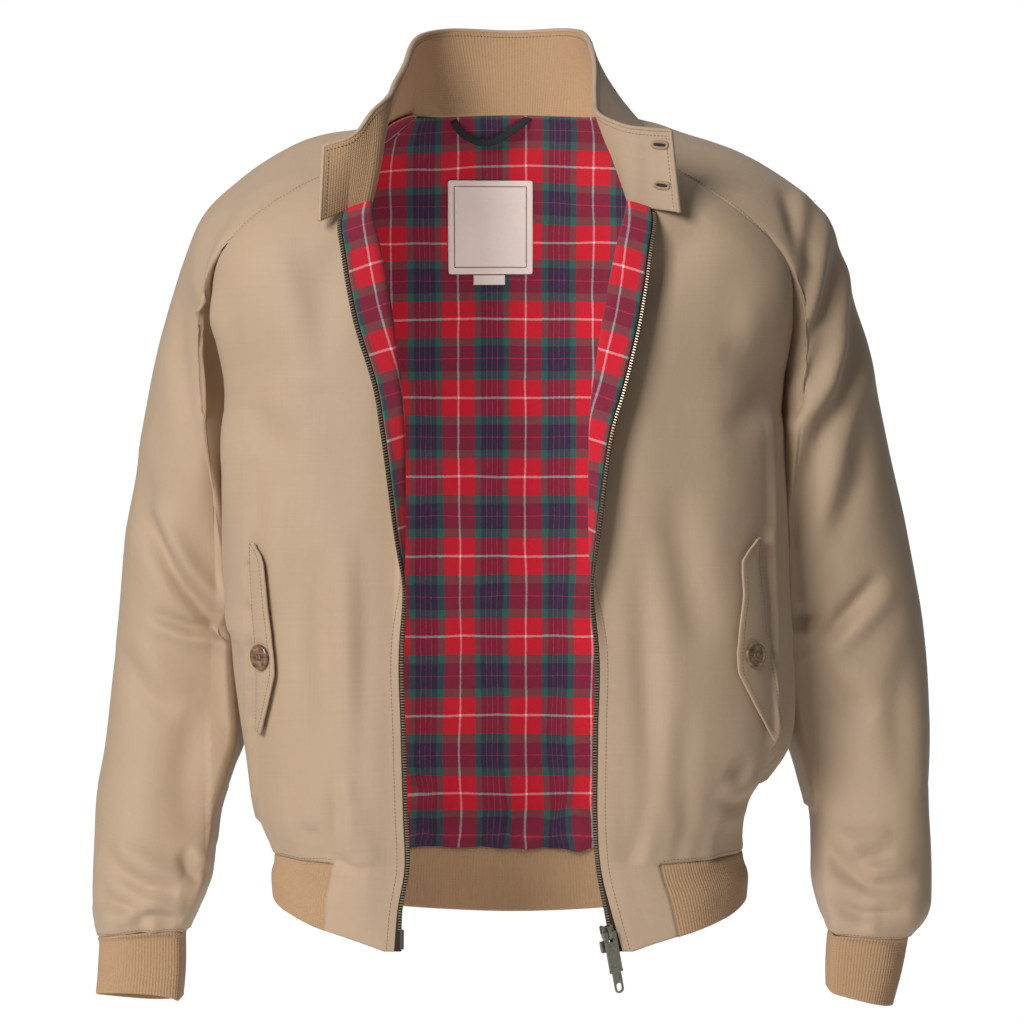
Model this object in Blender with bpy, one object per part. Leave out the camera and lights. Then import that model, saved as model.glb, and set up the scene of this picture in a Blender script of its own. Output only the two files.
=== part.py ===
"""A harrington jacket, worn open and filled out with no wearer. Metres, +Z up, +Y towards the
wearer's back, +X towards the wearer's left. The origin is where the wearer's shoulders hold it."""

import math
from collections import defaultdict

import bmesh
import bpy
import numpy as np
from mathutils import Matrix, Vector

# ---- cloth, in metres ----
SHELL = 0.0013  # woven shell
LINING = 0.0010
KNIT = 0.0020  # rib of the waistband, cuffs and collar
LAYER_GAP = 0.0004  # between a shell panel and what lies on it
SEAM_GAP = 0.0006  # between two panels at a seam
ROLL_RADIUS = 0.006  # of the front edge where it turns outwards like a lapel
TAPE_WIDTH = 0.010
TAPE_THICK = 0.0009
CHAIN_WIDTH = 0.0036
CHAIN_DEPTH = 0.0021
TEETH_GAP = 0.00105  # between the tape and the plain bar that stands for the teeth

SIDES = {"right": -1.0, "left": 1.0}

# ---- the front panels: a row for each level, from the hem to the neck ----
# out: the side seam, and above the armpit the raglan seam. fold: where the front edge starts to
# turn. wide_x: how far out the section swings. turn and roll: length and angle of what turns
# outwards. zip_out: how far the zip's chain stands off the cloth's edge.
LEVELS = ("hem", "band", "rib_seam", "blouse", "pocket_foot", "waist", "ribs", "armpit",
          "raglan_1", "raglan_2", "raglan_3", "raglan_4", "raglan_5", "neck")
FRONT_COLUMNS = ("out_x", "out_y", "out_z", "fold_x", "fold_y", "fold_z",
                 "wide_x", "turn", "roll", "zip_out")
FRONT = {
    "right": (
        (0.1920, 0.010, -0.6316, 0.1018, -0.116, -0.6707, 0.1965, 0.0080, 0, 0.006),
        (0.1930, 0.010, -0.6155, 0.0977, -0.119, -0.6370, 0.1975, 0.0068, 0, 0.0042),
        (0.1900, 0.010, -0.5990, 0.0921, -0.122, -0.6035, 0.1950, 0.0068, 0, 0.0042),
        (0.2010, 0.012, -0.5651, 0.0930, -0.132, -0.5607, 0.2085, 0.0068, 0, 0.0042),
        (0.2060, 0.013, -0.5110, 0.0947, -0.134, -0.4972, 0.2148, 0.0068, 0, 0.0042),
        (0.2110, 0.015, -0.4270, 0.0955, -0.134, -0.4221, 0.2247, 0.0068, 20, 0.0042),
        (0.2140, 0.015, -0.3420, 0.0926, -0.134, -0.3431, 0.2315, 0.0178, 120, 0.0042),
        (0.2180, 0.015, -0.2560, 0.0930, -0.133, -0.2562, 0.2350, 0.0268, 150, 0.0042),
        (0.2290, -0.010, -0.2130, 0.0965, -0.131, -0.2120, 0.2370, 0.0293, 160, 0.0042),
        (0.2410, -0.045, -0.1650, 0.1028, -0.128, -0.1630, 0.2435, 0.0368, 165, 0.0042),
        (0.2395, -0.071, -0.1220, 0.1086, -0.123, -0.1278, 0.2320, 0.0386, 165, 0.0042),
        (0.2164, -0.083, -0.0910, 0.1145, -0.116, -0.1012, 0.2050, 0.0371, 165, 0.0042),
        (0.1720, -0.077, -0.0610, 0.1194, -0.106, -0.0821, 0.1630, 0.0352, 165, 0.0042),
        (0.1215, -0.050, -0.0340, 0.1210, -0.092, -0.0682, 0.1225, 0.0318, 165, 0.0042),
    ),
    "left": (
        (0.1890, 0.010, -0.6316, 0.0962, -0.116, -0.6707, 0.1945, 0.0080, 0, 0.009),
        (0.1890, 0.010, -0.6155, 0.0866, -0.119, -0.6370, 0.1950, 0.0080, 0, 0.006),
        (0.1840, 0.010, -0.5970, 0.0774, -0.122, -0.6035, 0.1900, 0.0068, 0, 0.0042),
        (0.1890, 0.012, -0.5580, 0.0745, -0.132, -0.5607, 0.1970, 0.0068, 0, 0.0042),
        (0.2130, 0.013, -0.5110, 0.0750, -0.134, -0.4972, 0.2263, 0.0068, 0, 0.0042),
        (0.2130, 0.015, -0.4270, 0.0750, -0.134, -0.4221, 0.2255, 0.0068, 20, 0.0042),
        (0.2120, 0.015, -0.3420, 0.0693, -0.134, -0.3431, 0.2243, 0.0183, 120, 0.0042),
        (0.2110, 0.015, -0.2560, 0.0694, -0.133, -0.2562, 0.2226, 0.0273, 150, 0.0042),
        (0.2190, -0.010, -0.2130, 0.0733, -0.131, -0.2120, 0.2225, 0.0338, 160, 0.0042),
        (0.2260, -0.045, -0.1650, 0.0807, -0.128, -0.1630, 0.2275, 0.0371, 165, 0.0042),
        (0.2235, -0.071, -0.1220, 0.0871, -0.123, -0.1278, 0.2170, 0.0368, 165, 0.0042),
        (0.1970, -0.083, -0.0910, 0.0927, -0.116, -0.1012, 0.1870, 0.0348, 165, 0.0042),
        (0.1560, -0.076, -0.0590, 0.0981, -0.106, -0.0821, 0.1480, 0.0323, 165, 0.0042),
        (0.1180, -0.050, -0.0330, 0.1010, -0.092, -0.0682, 0.1165, 0.0288, 165, 0.0042),
    ),
}
FULLNESS = 0.65  # weight of a front section's corner: below 1 is rounder than a parabola
WIDE_PLACE = 0.2  # where along the section wide_x is measured
COLUMN_PLACES = {"right": (0, 0.20, 0.38, 0.55, 0.72, 0.86, 1.0),
                 "left": (0, 0.20, 0.36, 0.52, 0.66, 0.80, 0.90, 1.0)}
RIB_COLUMN = {"right": 4, "left": 5}  # the waistband's rib ends at this column of each front
TURN_PLACES = (0.34, 0.67, 1.0)

# ---- the back: centre line, and the raglan seam above the armpit ----
BACK_CENTRE = (  # y, z at each level
    (0.114, -0.6650), (0.118, -0.6350), (0.121, -0.6030), (0.136, -0.5720), (0.135, -0.5100),
    (0.131, -0.4250), (0.130, -0.3400), (0.137, -0.2550), (0.141, -0.2050), (0.142, -0.1550),
    (0.136, -0.1050), (0.120, -0.0600), (0.099, -0.0180), (0.076, 0.0170),
)
BACK_SEAM = (  # x, y, z from raglan_1 to the neck
    (0.222, 0.060, -0.2130), (0.226, 0.090, -0.1650), (0.213, 0.108, -0.1180),
    (0.184, 0.108, -0.0720), (0.140, 0.090, -0.0260), (0.088, 0.056, 0.0135),
)
BACK_PLACES = (0, 0.16, 0.32, 0.50, 0.68, 0.84, 1.0)
ARMPIT = LEVELS.index("armpit")

# ---- the sleeves: over is the top of the arm, under its inside ----
SLEEVE_COLUMNS = ("over_x", "over_z", "under_x", "under_z", "y", "front", "back",
                  "seam_share", "tilt")
SLEEVE = {
    "right": (
        (0.1090, 0.0015, 0.2130, -0.2560, 0.010, 0.100, 0.095, 1.00, 0),
        (0.1807, -0.0196, 0.2270, -0.2660, 0.014, 0.094, 0.093, 0.62, 0),
        (0.2269, -0.0432, 0.2350, -0.2790, 0.018, 0.088, 0.091, 0.30, 0),
        (0.2590, -0.0686, 0.2390, -0.2980, 0.022, 0.084, 0.088, 0.10, 0),
        (0.2770, -0.1084, 0.2390, -0.3280, 0.026, 0.080, 0.080, 0, 0),
        (0.2950, -0.1684, 0.2370, -0.3700, 0.030, 0.074, 0.072, 0, 0),
        (0.3072, -0.2354, 0.2345, -0.4150, 0.033, 0.069, 0.067, 0, 0),
        (0.3200, -0.3193, 0.2315, -0.4650, 0.034, 0.065, 0.063, 0, 0),
        (0.3284, -0.3949, 0.2295, -0.5100, 0.032, 0.061, 0.061, 0, 0),
        (0.3346, -0.4619, 0.2373, -0.5357, 0.027, 0.060, 0.060, 0, 0),
        (0.3386, -0.5200, 0.2467, -0.5702, 0.019, 0.058, 0.058, 0, 0),
        (0.3458, -0.5651, 0.2483, -0.5985, 0.010, 0.058, 0.058, 0, 0),
        (0.3484, -0.6263, 0.2505, -0.6280, -0.002, 0.056, 0.056, 0, 0.002),
        (0.3466, -0.6544, 0.2606, -0.6500, -0.008, 0.050, 0.050, 0, 0.003),
        (0.3420, -0.6729, 0.2701, -0.6663, -0.012, 0.041, 0.041, 0, 0.004),
    ),
    "left": (
        (0.1090, 0.0015, 0.2130, -0.2560, 0.010, 0.100, 0.095, 1.00, 0),
        (0.1782, -0.0196, 0.2160, -0.2680, 0.012, 0.096, 0.095, 0.62, 0),
        (0.2277, -0.0416, 0.2190, -0.2830, 0.015, 0.090, 0.093, 0.30, 0),
        (0.2590, -0.0686, 0.2225, -0.3020, 0.020, 0.086, 0.090, 0.10, 0),
        (0.2775, -0.1084, 0.2240, -0.3300, 0.025, 0.082, 0.082, 0, 0),
        (0.2960, -0.1684, 0.2255, -0.3700, 0.030, 0.076, 0.074, 0, 0),
        (0.3106, -0.2354, 0.2270, -0.4150, 0.033, 0.070, 0.068, 0, 0),
        (0.3268, -0.3193, 0.2295, -0.4650, 0.034, 0.066, 0.064, 0, 0),
        (0.3402, -0.3949, 0.2365, -0.5100, 0.032, 0.062, 0.062, 0, 0),
        (0.3463, -0.4619, 0.2440, -0.5373, 0.027, 0.060, 0.060, 0, 0),
        (0.3478, -0.5200, 0.2508, -0.5718, 0.019, 0.058, 0.058, 0, 0),
        (0.3474, -0.5651, 0.2508, -0.6026, 0.010, 0.058, 0.058, 0, 0),
        (0.3468, -0.6263, 0.2497, -0.6263, -0.002, 0.056, 0.056, 0, 0),
        (0.3425, -0.6519, 0.2548, -0.6486, -0.008, 0.050, 0.050, 0, 0),
        (0.3271, -0.6713, 0.2627, -0.6680, -0.012, 0.040, 0.040, 0, 0),
    ),
}
CUFF = {
    "right": (
        (0.3400, -0.6790, 0.2715, -0.6730, -0.012, 0.037, 0.037, 0, 0.004),
        (0.3405, -0.7000, 0.2715, -0.6990, -0.016, 0.036, 0.036, 0, 0.005),
        (0.3427, -0.7172, 0.2718, -0.7205, -0.020, 0.037, 0.037, 0, 0.007),
    ),
    "left": (
        (0.3252, -0.6780, 0.2622, -0.6740, -0.012, 0.036, 0.036, 0, 0),
        (0.3195, -0.7020, 0.2608, -0.6960, -0.016, 0.035, 0.035, 0, 0),
        (0.3138, -0.7254, 0.2595, -0.7123, -0.020, 0.036, 0.036, 0, 0),
    ),
}
UNDERARM_NARROW = 0.22  # how much flatter a sleeve is towards the body
LINED_STATIONS = 4  # the sleeve's lining shows from the neck to here

# ---- the collar: its top edge, named after the point of the neckline below it ----
# belly: how far the middle of the section stands off its chord
COLLAR_COLUMNS = ("top_x", "top_y", "top_z", "belly_x", "belly_y")
COLLAR = (
    ("right", "tab_end", -0.1495, -0.116, -0.0308, 0, -0.001),
    ("right", "zip", -0.1272, -0.113, -0.0217, 0, -0.001),
    ("right", "turned", -0.1135, -0.103, -0.0022, 0.002, -0.002),
    ("right", "fold", -0.1013, -0.085, 0.0127, 0.004, -0.003),
    ("right", "front_raglan", -0.0966, -0.060, 0.0282, 0.004, -0.002),
    ("right", "shoulder", -0.0901, -0.032, 0.0451, 0.002, 0),
    ("right", "back_raglan", -0.0812, 0.025, 0.0757, 0, 0.003),
    ("right", "back", -0.0540, 0.070, 0.0885, 0, 0.004),
    ("centre", "back", 0.0000, 0.085, 0.0890, 0, 0.004),
    ("left", "back", 0.0490, 0.068, 0.0885, 0, 0.004),
    ("left", "back_raglan", 0.0640, 0.033, 0.0785, 0, 0.003),
    ("left", "shoulder", 0.0695, -0.010, 0.0512, -0.002, 0),
    ("left", "front_raglan", 0.0685, -0.050, 0.0188, -0.003, -0.001),
    ("left", "fold", 0.0708, -0.085, -0.0002, -0.003, -0.002),
    ("left", "turned", 0.0900, -0.109, -0.0130, 0, -0.002),
    ("left", "zip", 0.1081, -0.116, -0.0166, 0, -0.001),
    ("left", "tab_end", 0.1262, -0.119, -0.0185, 0, -0.001),
)
TAB_END = {"right": (-0.1537, -0.124, -0.0902), "left": (0.1337, -0.120, -0.0830)}
COLLAR_PLACES = (0, 0.36, 0.70, 1.0)

# ---- pocket flaps: a row for each height, from the top; both edges as x, z on the panel ----
FLAP_COLUMNS = ("sewn_x", "sewn_z", "free_x", "free_z")
FLAPS = {
    "right": (
        (0.2105, -0.3440, 0.2060, -0.3460),
        (0.2095, -0.3600, 0.1948, -0.3604),
        (0.2090, -0.3866, 0.1924, -0.3862),
        (0.2063, -0.4210, 0.1884, -0.4184),
        (0.2045, -0.4520, 0.1852, -0.4498),
        (0.2045, -0.4975, 0.1975, -0.4985),
    ),
    "left": (
        (0.1975, -0.3410, 0.1930, -0.3430),
        (0.1975, -0.3600, 0.1795, -0.3600),
        (0.2010, -0.3880, 0.1803, -0.3880),
        (0.2040, -0.4190, 0.1765, -0.4180),
        (0.2110, -0.4500, 0.1765, -0.4490),
        (0.2170, -0.4950, 0.2080, -0.5060),
    ),
}
FLAP_THICK = 0.0022
FLAP_LIFT = 0.0011  # of its sewn edge off the panel
FLAP_STAND = 0.0028  # of its free edge, beyond that
POCKET_BUTTON = {"right": (0.1965, -0.4360), "left": (0.1893, -0.4350)}
BUTTON = {"radius": 0.0103, "thick": 0.0032, "rim": 0.0022, "dish": 0.0009,
          "hole": 0.0011, "hole_from_centre": 0.0024}
COLLAR_BUTTON = {"radius": 0.0075, "thick": 0.0026, "rim": 0.0016, "dish": 0.0006,
                 "hole": 0.0009, "hole_from_centre": 0.0019}

# ---- what is sewn on the back lining: left, right, bottom and top ----
LABEL = {"label": (-0.0556, 0.0182, -0.1144, -0.0350),
         "size_tab": (-0.0335, -0.0060, -0.1235, -0.1150)}
LABEL_THICK = 0.0010
HANGER = (  # x, z, and how far it hangs off the lining
    (-0.0500, 0.0140, 0), (-0.0440, 0.0060, 0.002), (-0.0320, 0.0000, 0.004),
    (-0.0180, 0.0000, 0.005), (-0.0050, 0.0060, 0.004), (0.0070, 0.0130, 0.002),
    (0.0150, 0.0190, 0),
)
HANGER_HIGH, HANGER_THICK = 0.0065, 0.0020

# ---- the zip's bottom end ----
ZIP_LOW = {"right": 0.53, "left": 0.66}  # level at which each row of teeth ends
ZIP_HIGH = 12.70
PIN = (0.515, 0.05)  # levels between which the insertion pin runs
TAPE_SHOWN = 0.0025  # of the tape beside the slider
ZIP_END = {"centre": (0.0755, -0.1185, -0.6550), "lean": 12.0, "facing": (0.40, -0.92, 0.0)}
SLIDER = {"wide": 0.0098, "long": 0.0125, "deep": 0.0058, "waist": 0.0074}
BRIDGE = {"long": 0.0112, "thick": 0.0012, "wide": 0.0028, "high": 0.0046}
ZIP_BOX = {"centre": (0.0733, -0.1185, -0.6666), "size": (0.0062, 0.0092, 0.0034)}
PULL = {"bar": 0.0008, "slot_wide": 0.0040, "slot_long": 0.0062, "wide": 0.0094,
        "plate_long": 0.0320, "eye_long": 0.0170, "eye_wide": 0.0078, "eye_hole": 0.0052,
        "thick": 0.0018}


def columns(names, rows):
    """A table as one array for each named column."""
    return dict(zip(names, np.array(rows, float).T))


def conic(start, corner, end, weight, place):
    """The point at place, 0 to 1, on the arc from start to end that bends round the corner."""
    a = (1 - place) ** 2
    b = 2 * weight * place * (1 - place)
    c = place**2
    return (a * start + b * corner + c * end) / (a + b + c)


class Grid:
    """Points of a piece of cloth in rows and columns, and which of its cells are cloth."""

    def __init__(self, points, closed=False, cells=None):
        self.points = np.array(points, float)
        self.closed = closed
        self.rows, self.cols = self.points.shape[:2]
        self.cells = cells or [(i, j) for i in range(self.rows - 1)
                               for j in range(self.cols - (not closed))]

    def corners(self, cell):
        i, j = cell
        k = (j + 1) % self.cols
        return (i, j), (i, k), (i + 1, k), (i + 1, j)

    def part(self, rows=slice(None), cols=slice(None)):
        return Grid(self.points[rows, cols])


def smooth(rows, place):
    """The value at a place, counted in rows, on a smooth curve through the rows."""
    rows = np.array(rows, float)
    k = int(min(max(math.floor(place), 0), len(rows) - 2))
    t = place - k
    p1, p2 = rows[k], rows[k + 1]
    p0 = rows[k - 1] if k else 2 * p1 - p2
    p3 = rows[k + 2] if k + 2 < len(rows) else 2 * p2 - p1
    return 0.5 * (2 * p1 + (p2 - p0) * t + (2 * p0 - 5 * p1 + 4 * p2 - p3) * t * t
                  + (3 * p1 - p0 - 3 * p2 + p3) * t**3)


def place_key(point):
    return tuple(np.round(point, 5))


def shared_directions(grids):
    """The outward direction at each point, shared by the pieces that meet there."""
    pool = defaultdict(lambda: np.zeros(3))
    for grid in grids:
        for cell in grid.cells:
            a, b, c, d = (grid.points[k] for k in grid.corners(cell))
            face = np.cross(c - a, d - b)
            for point in (a, b, c, d):
                pool[place_key(point)] += face
    return {k: v / np.linalg.norm(v) for k, v in pool.items()}


def directions_of(grid, pool):
    return np.array([[pool[place_key(p)] for p in row] for row in grid.points])


def own_directions(grid):
    return directions_of(grid, shared_directions([grid]))


def drawn_in(grid, by):
    """The grid's points with each free edge moved inwards, square to it, for the gap at a seam."""
    points = grid.points.copy()
    used = set(grid.cells)
    wrap = grid.cols if grid.closed else 10**6
    for i, j in {k for cell in grid.cells for k in grid.corners(cell)}:
        left, right = (j - 1) % wrap, j
        has = [[(i + a, c) in used for c in (left, right)] for a in (-1, 0)]
        beside = {(-1, 0): (0, 0, 0, 1), (1, 0): (1, 0, 1, 1),
                  (0, -1): (0, 0, 1, 0), (0, 1): (0, 1, 1, 1)}
        here = grid.points[i, j]
        for step, (a, b, c, d) in beside.items():
            if has[a][b] or has[c][d] or not any(has[0] + has[1]):
                continue
            ahead = grid.points[i - step[0], (j - step[1]) % wrap] - here
            along = np.zeros(3)
            for turn in (1, -1):
                m, n = i + turn * step[1], j + turn * step[0]
                inside = 0 <= m < grid.rows and (grid.closed or 0 <= n < grid.cols)
                if inside and np.linalg.norm(grid.points[m, n % wrap] - here) > 1e-6:
                    to = grid.points[m, n % wrap] - here
                    along = along + turn * to / np.linalg.norm(to)
            if np.linalg.norm(along) > 1e-6:
                along /= np.linalg.norm(along)
                ahead = ahead - along * (ahead @ along)
            points[i, j] += by * ahead / np.linalg.norm(ahead)
    return points


def material(name, colour, roughness, metallic=0.0):
    made = bpy.data.materials.new(name)
    made.use_nodes = True
    shader = made.node_tree.nodes["Principled BSDF"]
    shader.inputs["Base Color"].default_value = (*colour, 1.0)
    shader.inputs["Roughness"].default_value = roughness
    shader.inputs["Metallic"].default_value = metallic
    return made


def new_object(name, mesh_maker, finish):
    mesh = bpy.data.meshes.new(name)
    mesh_maker.to_mesh(mesh)
    mesh_maker.free()
    made = bpy.data.objects.new(name, mesh)
    made.data.materials.append(finish)
    bpy.context.scene.collection.objects.link(made)
    return made


def cloth(name, grid, directions, depth, thickness, finish, gap=SEAM_GAP / 2):
    """A wall of cloth: its outer face lies depth inside the grid, and it is thickness deep."""
    points = drawn_in(grid, gap)
    maker = bmesh.new()
    corner = {}
    for cell in grid.cells:
        for k in grid.corners(cell):
            if k not in corner:
                corner[k] = maker.verts.new(points[k] - directions[k] * depth)
    inward = {corner[k]: Vector(-directions[k] * thickness) for k in corner}
    faces = [maker.faces.new([corner[k] for k in grid.corners(cell)]) for cell in grid.cells]
    grown = bmesh.ops.extrude_face_region(maker, geom=faces, use_keep_orig=True)
    outer = {tuple(round(x, 7) for x in v.co): v for v in inward}
    for item in grown["geom"]:
        if isinstance(item, bmesh.types.BMVert):
            item.co += inward[outer[tuple(round(x, 7) for x in item.co)]]
    bmesh.ops.recalc_face_normals(maker, faces=maker.faces)
    return new_object(name, maker, finish)


# ---- the body of the jacket ----


def corner_of(row):
    """How far out the section's corner lies for the section to pass through wide_x."""
    a, c = (1 - WIDE_PLACE) ** 2, WIDE_PLACE**2
    b = 2 * FULLNESS * WIDE_PLACE * (1 - WIDE_PLACE)
    return ((a + b + c) * row["wide_x"] - a * row["out_x"] - c * row["fold_x"]) / b


def front_section(side, level):
    """Points from the side seam to the fold, and how the front turns from there."""
    table = columns(FRONT_COLUMNS, FRONT[side])
    row = {k: v[level] for k, v in table.items()}
    sign = SIDES[side]
    start = np.array([sign * row["out_x"], row["out_y"]])
    end = np.array([sign * row["fold_x"], row["fold_y"]])
    corner = np.array([sign * corner_of(row), row["fold_y"] - 0.004])
    points = []
    for place in COLUMN_PLACES[side]:
        x, y = conic(start, corner, end, FULLNESS, place)
        z = row["out_z"] + (row["fold_z"] - row["out_z"]) * place**1.6
        points.append((x, y, z))
    along = np.array([-sign, 0.03])
    along /= np.linalg.norm(along)
    forward = np.array([along[1], -along[0]]) * (1 if sign < 0 else -1)
    return points, row, end, along, forward


def turned(row, end, along, forward, length):
    """The point that far past the fold, measured round the roll and over the zip's edge."""
    roll = math.radians(row["roll"])
    angle = min(length / ROLL_RADIUS, roll)
    past = max(0.0, length - ROLL_RADIUS * roll)
    x, y = (end + ROLL_RADIUS * (math.sin(angle) * along + (1 - math.cos(angle)) * forward)
            + past * (math.cos(roll) * along + math.sin(roll) * forward))
    z = row["fold_z"] - 0.35 * length * row["roll"] / 165
    return x, y, z


def front_row(side, level, beyond=()):
    """One row of a front panel, from the side seam to the edge, or the points beyond the edge."""
    points, row, end, along, forward = front_section(side, level)
    lengths = [row["turn"] + row["zip_out"] + b for b in beyond] or [
        row["turn"] * place for place in TURN_PLACES]
    strip = [turned(row, end, along, forward, length) for length in lengths]
    return strip if beyond else points + strip


def front_grid(side):
    rows = [front_row(side, level) for level in range(len(LEVELS))]
    points = np.array(rows)
    return points if side == "right" else points[:, ::-1]


def back_half(side, level):
    """Points from the centre back to the side or raglan seam."""
    y, z = BACK_CENTRE[level]
    sign = SIDES[side]
    table = columns(FRONT_COLUMNS, FRONT[side])
    centre = np.array([0.0, y])
    if level <= ARMPIT:
        row = {k: v[level] for k, v in table.items()}
        seam = np.array([sign * row["out_x"], row["out_y"]])
        seam_z = row["out_z"]
        swing = (y - row["out_y"]) / (row["out_y"] - row["fold_y"])
        corner_x = row["out_x"] - (corner_of(row) - row["out_x"]) * swing
    else:
        x, seam_y, seam_z = BACK_SEAM[level - ARMPIT - 1]
        seam = np.array([sign * x, seam_y])
        corner_x = 0.72 * x
    corner = np.array([sign * corner_x, y + 0.002])
    return [(*conic(centre, corner, seam, 1.15, place), z + (seam_z - z) * place**1.6)
            for place in BACK_PLACES]


def back_grid():
    rows = []
    for level in range(len(LEVELS)):
        left, right = back_half("left", level), back_half("right", level)
        rows.append(left[::-1] + right[1:])
    return np.array(rows)


# ---- the sleeves ----


def seam_loop(side):
    """The raglan seam all round: neck, down the front, underarm, up the back."""
    table = columns(FRONT_COLUMNS, FRONT[side])
    sign = SIDES[side]
    front = [(sign * table["out_x"][k], table["out_y"][k], table["out_z"][k])
             for k in range(len(LEVELS) - 1, ARMPIT - 1, -1)]
    back = [(sign * x, y, z) for x, y, z in BACK_SEAM]
    top = SLEEVE[side][0]
    return np.array([(sign * top[0], 0.006, top[1]), *front, *back])


def ring(side, row):
    """One round of a sleeve: an ellipse from the top of the arm to its inside."""
    station = dict(zip(SLEEVE_COLUMNS, row))
    sign = SIDES[side]
    over = np.array([sign * station["over_x"], station["over_z"]])
    under = np.array([sign * station["under_x"], station["under_z"]])
    points = []
    count = 2 * (len(LEVELS) - ARMPIT)
    for step in range(count):
        turn = 2 * math.pi * step / count
        x, z = (over + under) / 2 + (over - under) / 2 * math.cos(turn)
        depth = station["front"] if math.sin(turn) > 0 else station["back"]
        narrow = 1 - UNDERARM_NARROW * (1 - math.cos(turn)) / 2
        y = station["y"] - depth * narrow * math.sin(turn)
        points.append((x, y, z + station["tilt"] * math.sin(turn)))
    return np.array(points)


def sleeve_grid(side):
    loop = seam_loop(side)
    off_round = loop - ring(side, SLEEVE[side][0])
    share = SLEEVE_COLUMNS.index("seam_share")
    rows = np.array([ring(side, row) + row[share] * off_round for row in SLEEVE[side]])
    rows[0] = loop
    return rows if side == "left" else rows[:, ::-1]


def cuff_grid(side):
    rows = np.array([SLEEVE_END[side], *(ring(side, row) for row in CUFF[side])])
    return rows if side == "left" else rows[:, ::-1]


SLEEVE_END = {side: ring(side, SLEEVE[side][-1]) for side in SIDES}


# ---- the collar ----


def collar_lines(panels, back, sleeves):
    right = panels["right"].points[-1]
    right = right if abs(right[0][0]) < abs(right[-1][0]) else right
    names = {}
    line = []

    def add(points, name=None):
        line.extend(points)
        if name:
            names[name] = len(line) - 1

    turn = len(TURN_PLACES)
    edge_first = right[::-1]  # from the zip's edge to the raglan seam
    add([np.array(TAB_END["right"])], ("right", "tab_end"))
    add([edge_first[0]], ("right", "zip"))
    add(edge_first[1:2], ("right", "turned"))
    add(edge_first[2:turn + 1], ("right", "fold"))
    add(edge_first[turn + 1:], ("right", "front_raglan"))
    add([sleeve_top("right")], ("right", "shoulder"))
    across = back.points[-1][::-1]
    half = len(BACK_PLACES) - 1
    add([across[0]], ("right", "back_raglan"))
    add(across[1:half // 2 + 2], ("right", "back"))
    add(across[half // 2 + 2:half + 1], ("centre", "back"))
    add(across[half + 1:half + half // 2], ("left", "back"))
    add(across[half + half // 2:], ("left", "back_raglan"))
    add([sleeve_top("left")], ("left", "shoulder"))
    seam_first = panels["left"].points[-1][::-1]
    seam_first = seam_first if seam_first[0][0] > seam_first[-1][0] else seam_first[::-1]
    add([seam_first[0]], ("left", "front_raglan"))
    add(seam_first[1:-turn], ("left", "fold"))
    add(seam_first[-turn:-1], ("left", "turned"))
    add([seam_first[-1]], ("left", "zip"))
    add([np.array(TAB_END["left"])], ("left", "tab_end"))
    return line, names


def sleeve_top(side):
    top = SLEEVE[side][0]
    return np.array((SIDES[side] * top[0], 0.006, top[1]))


def collar_grid(panels, back, sleeves):
    """Sections from the neckline up to the collar's top edge, from tab end to tab end."""
    line, names = collar_lines(panels, back, sleeves)
    marks = [names[(row[0], row[1])] for row in COLLAR]
    tops = [row[2:] for row in COLLAR]
    rows = []
    for k, foot in enumerate(line):
        station = np.interp(k, marks, range(len(marks)))
        top_x, top_y, top_z, belly_x, belly_y = smooth(tops, station)
        top = np.array((top_x, top_y, top_z))
        belly = np.array((belly_x, belly_y, 0.0))
        rows.append([foot + (top - foot) * t + 4 * t * (1 - t) * belly for t in COLLAR_PLACES])
    return np.array(rows), names


# ---- small pieces ----


def surface_point(grid, ways, x, z, columns_used):
    """The point of a panel that lies at x and z, and its outward direction."""
    best = None
    for i in range(grid.rows - 1):
        for j in columns_used:
            a, b, c, d = (grid.points[k] for k in grid.corners((i, j)))
            u = v = 0.5
            for _ in range(12):
                here = (1 - v) * ((1 - u) * a + u * b) + v * ((1 - u) * d + u * c)
                over = (1 - v) * (b - a) + v * (c - d)
                up = (1 - u) * (d - a) + u * (c - b)
                gap = np.array([x - here[0], z - here[2]])
                turn = np.array([[over[0], up[0]], [over[2], up[2]]])
                if abs(np.linalg.det(turn)) < 1e-12:
                    break
                du, dv = np.linalg.solve(turn, gap)
                u, v = u + du, v + dv
            miss = max(-u, u - 1, -v, v - 1, 0)
            if miss < 3 and (best is None or (round(miss, 4), here[1]) < best[0]):
                na, nb, nc, nd = (ways[k] for k in grid.corners((i, j)))
                way = (1 - v) * ((1 - u) * na + u * nb) + v * ((1 - u) * nd + u * nc)
                best = ((round(miss, 4), here[1]), here, way / np.linalg.norm(way))
    return best[1], best[2]


def frame_of(centre, outward, up):
    """A matrix whose z is outward and whose y is up along the surface."""
    z = Vector(outward).normalized()
    x = Vector(up).cross(z).normalized()
    y = z.cross(x)
    turned = Matrix((x, y, z)).transposed().to_4x4()
    return Matrix.Translation(Vector(centre)) @ turned


def box(maker, size, centre=(0, 0, 0)):
    made = bmesh.ops.create_cube(maker, size=1.0)
    for v in made["verts"]:
        v.co = Vector([v.co[k] * size[k] + centre[k] for k in range(3)])
    return made["verts"]


def cylinder(maker, radius, depth, centre, segments, axis="Z"):
    turn = {"Z": Matrix(), "X": Matrix.Rotation(math.pi / 2, 4, "Y"),
            "Y": Matrix.Rotation(math.pi / 2, 4, "X")}[axis]
    bmesh.ops.create_cone(maker, cap_ends=True, segments=segments, radius1=radius,
                          radius2=radius, depth=depth, matrix=Matrix.Translation(centre) @ turn)


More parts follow.
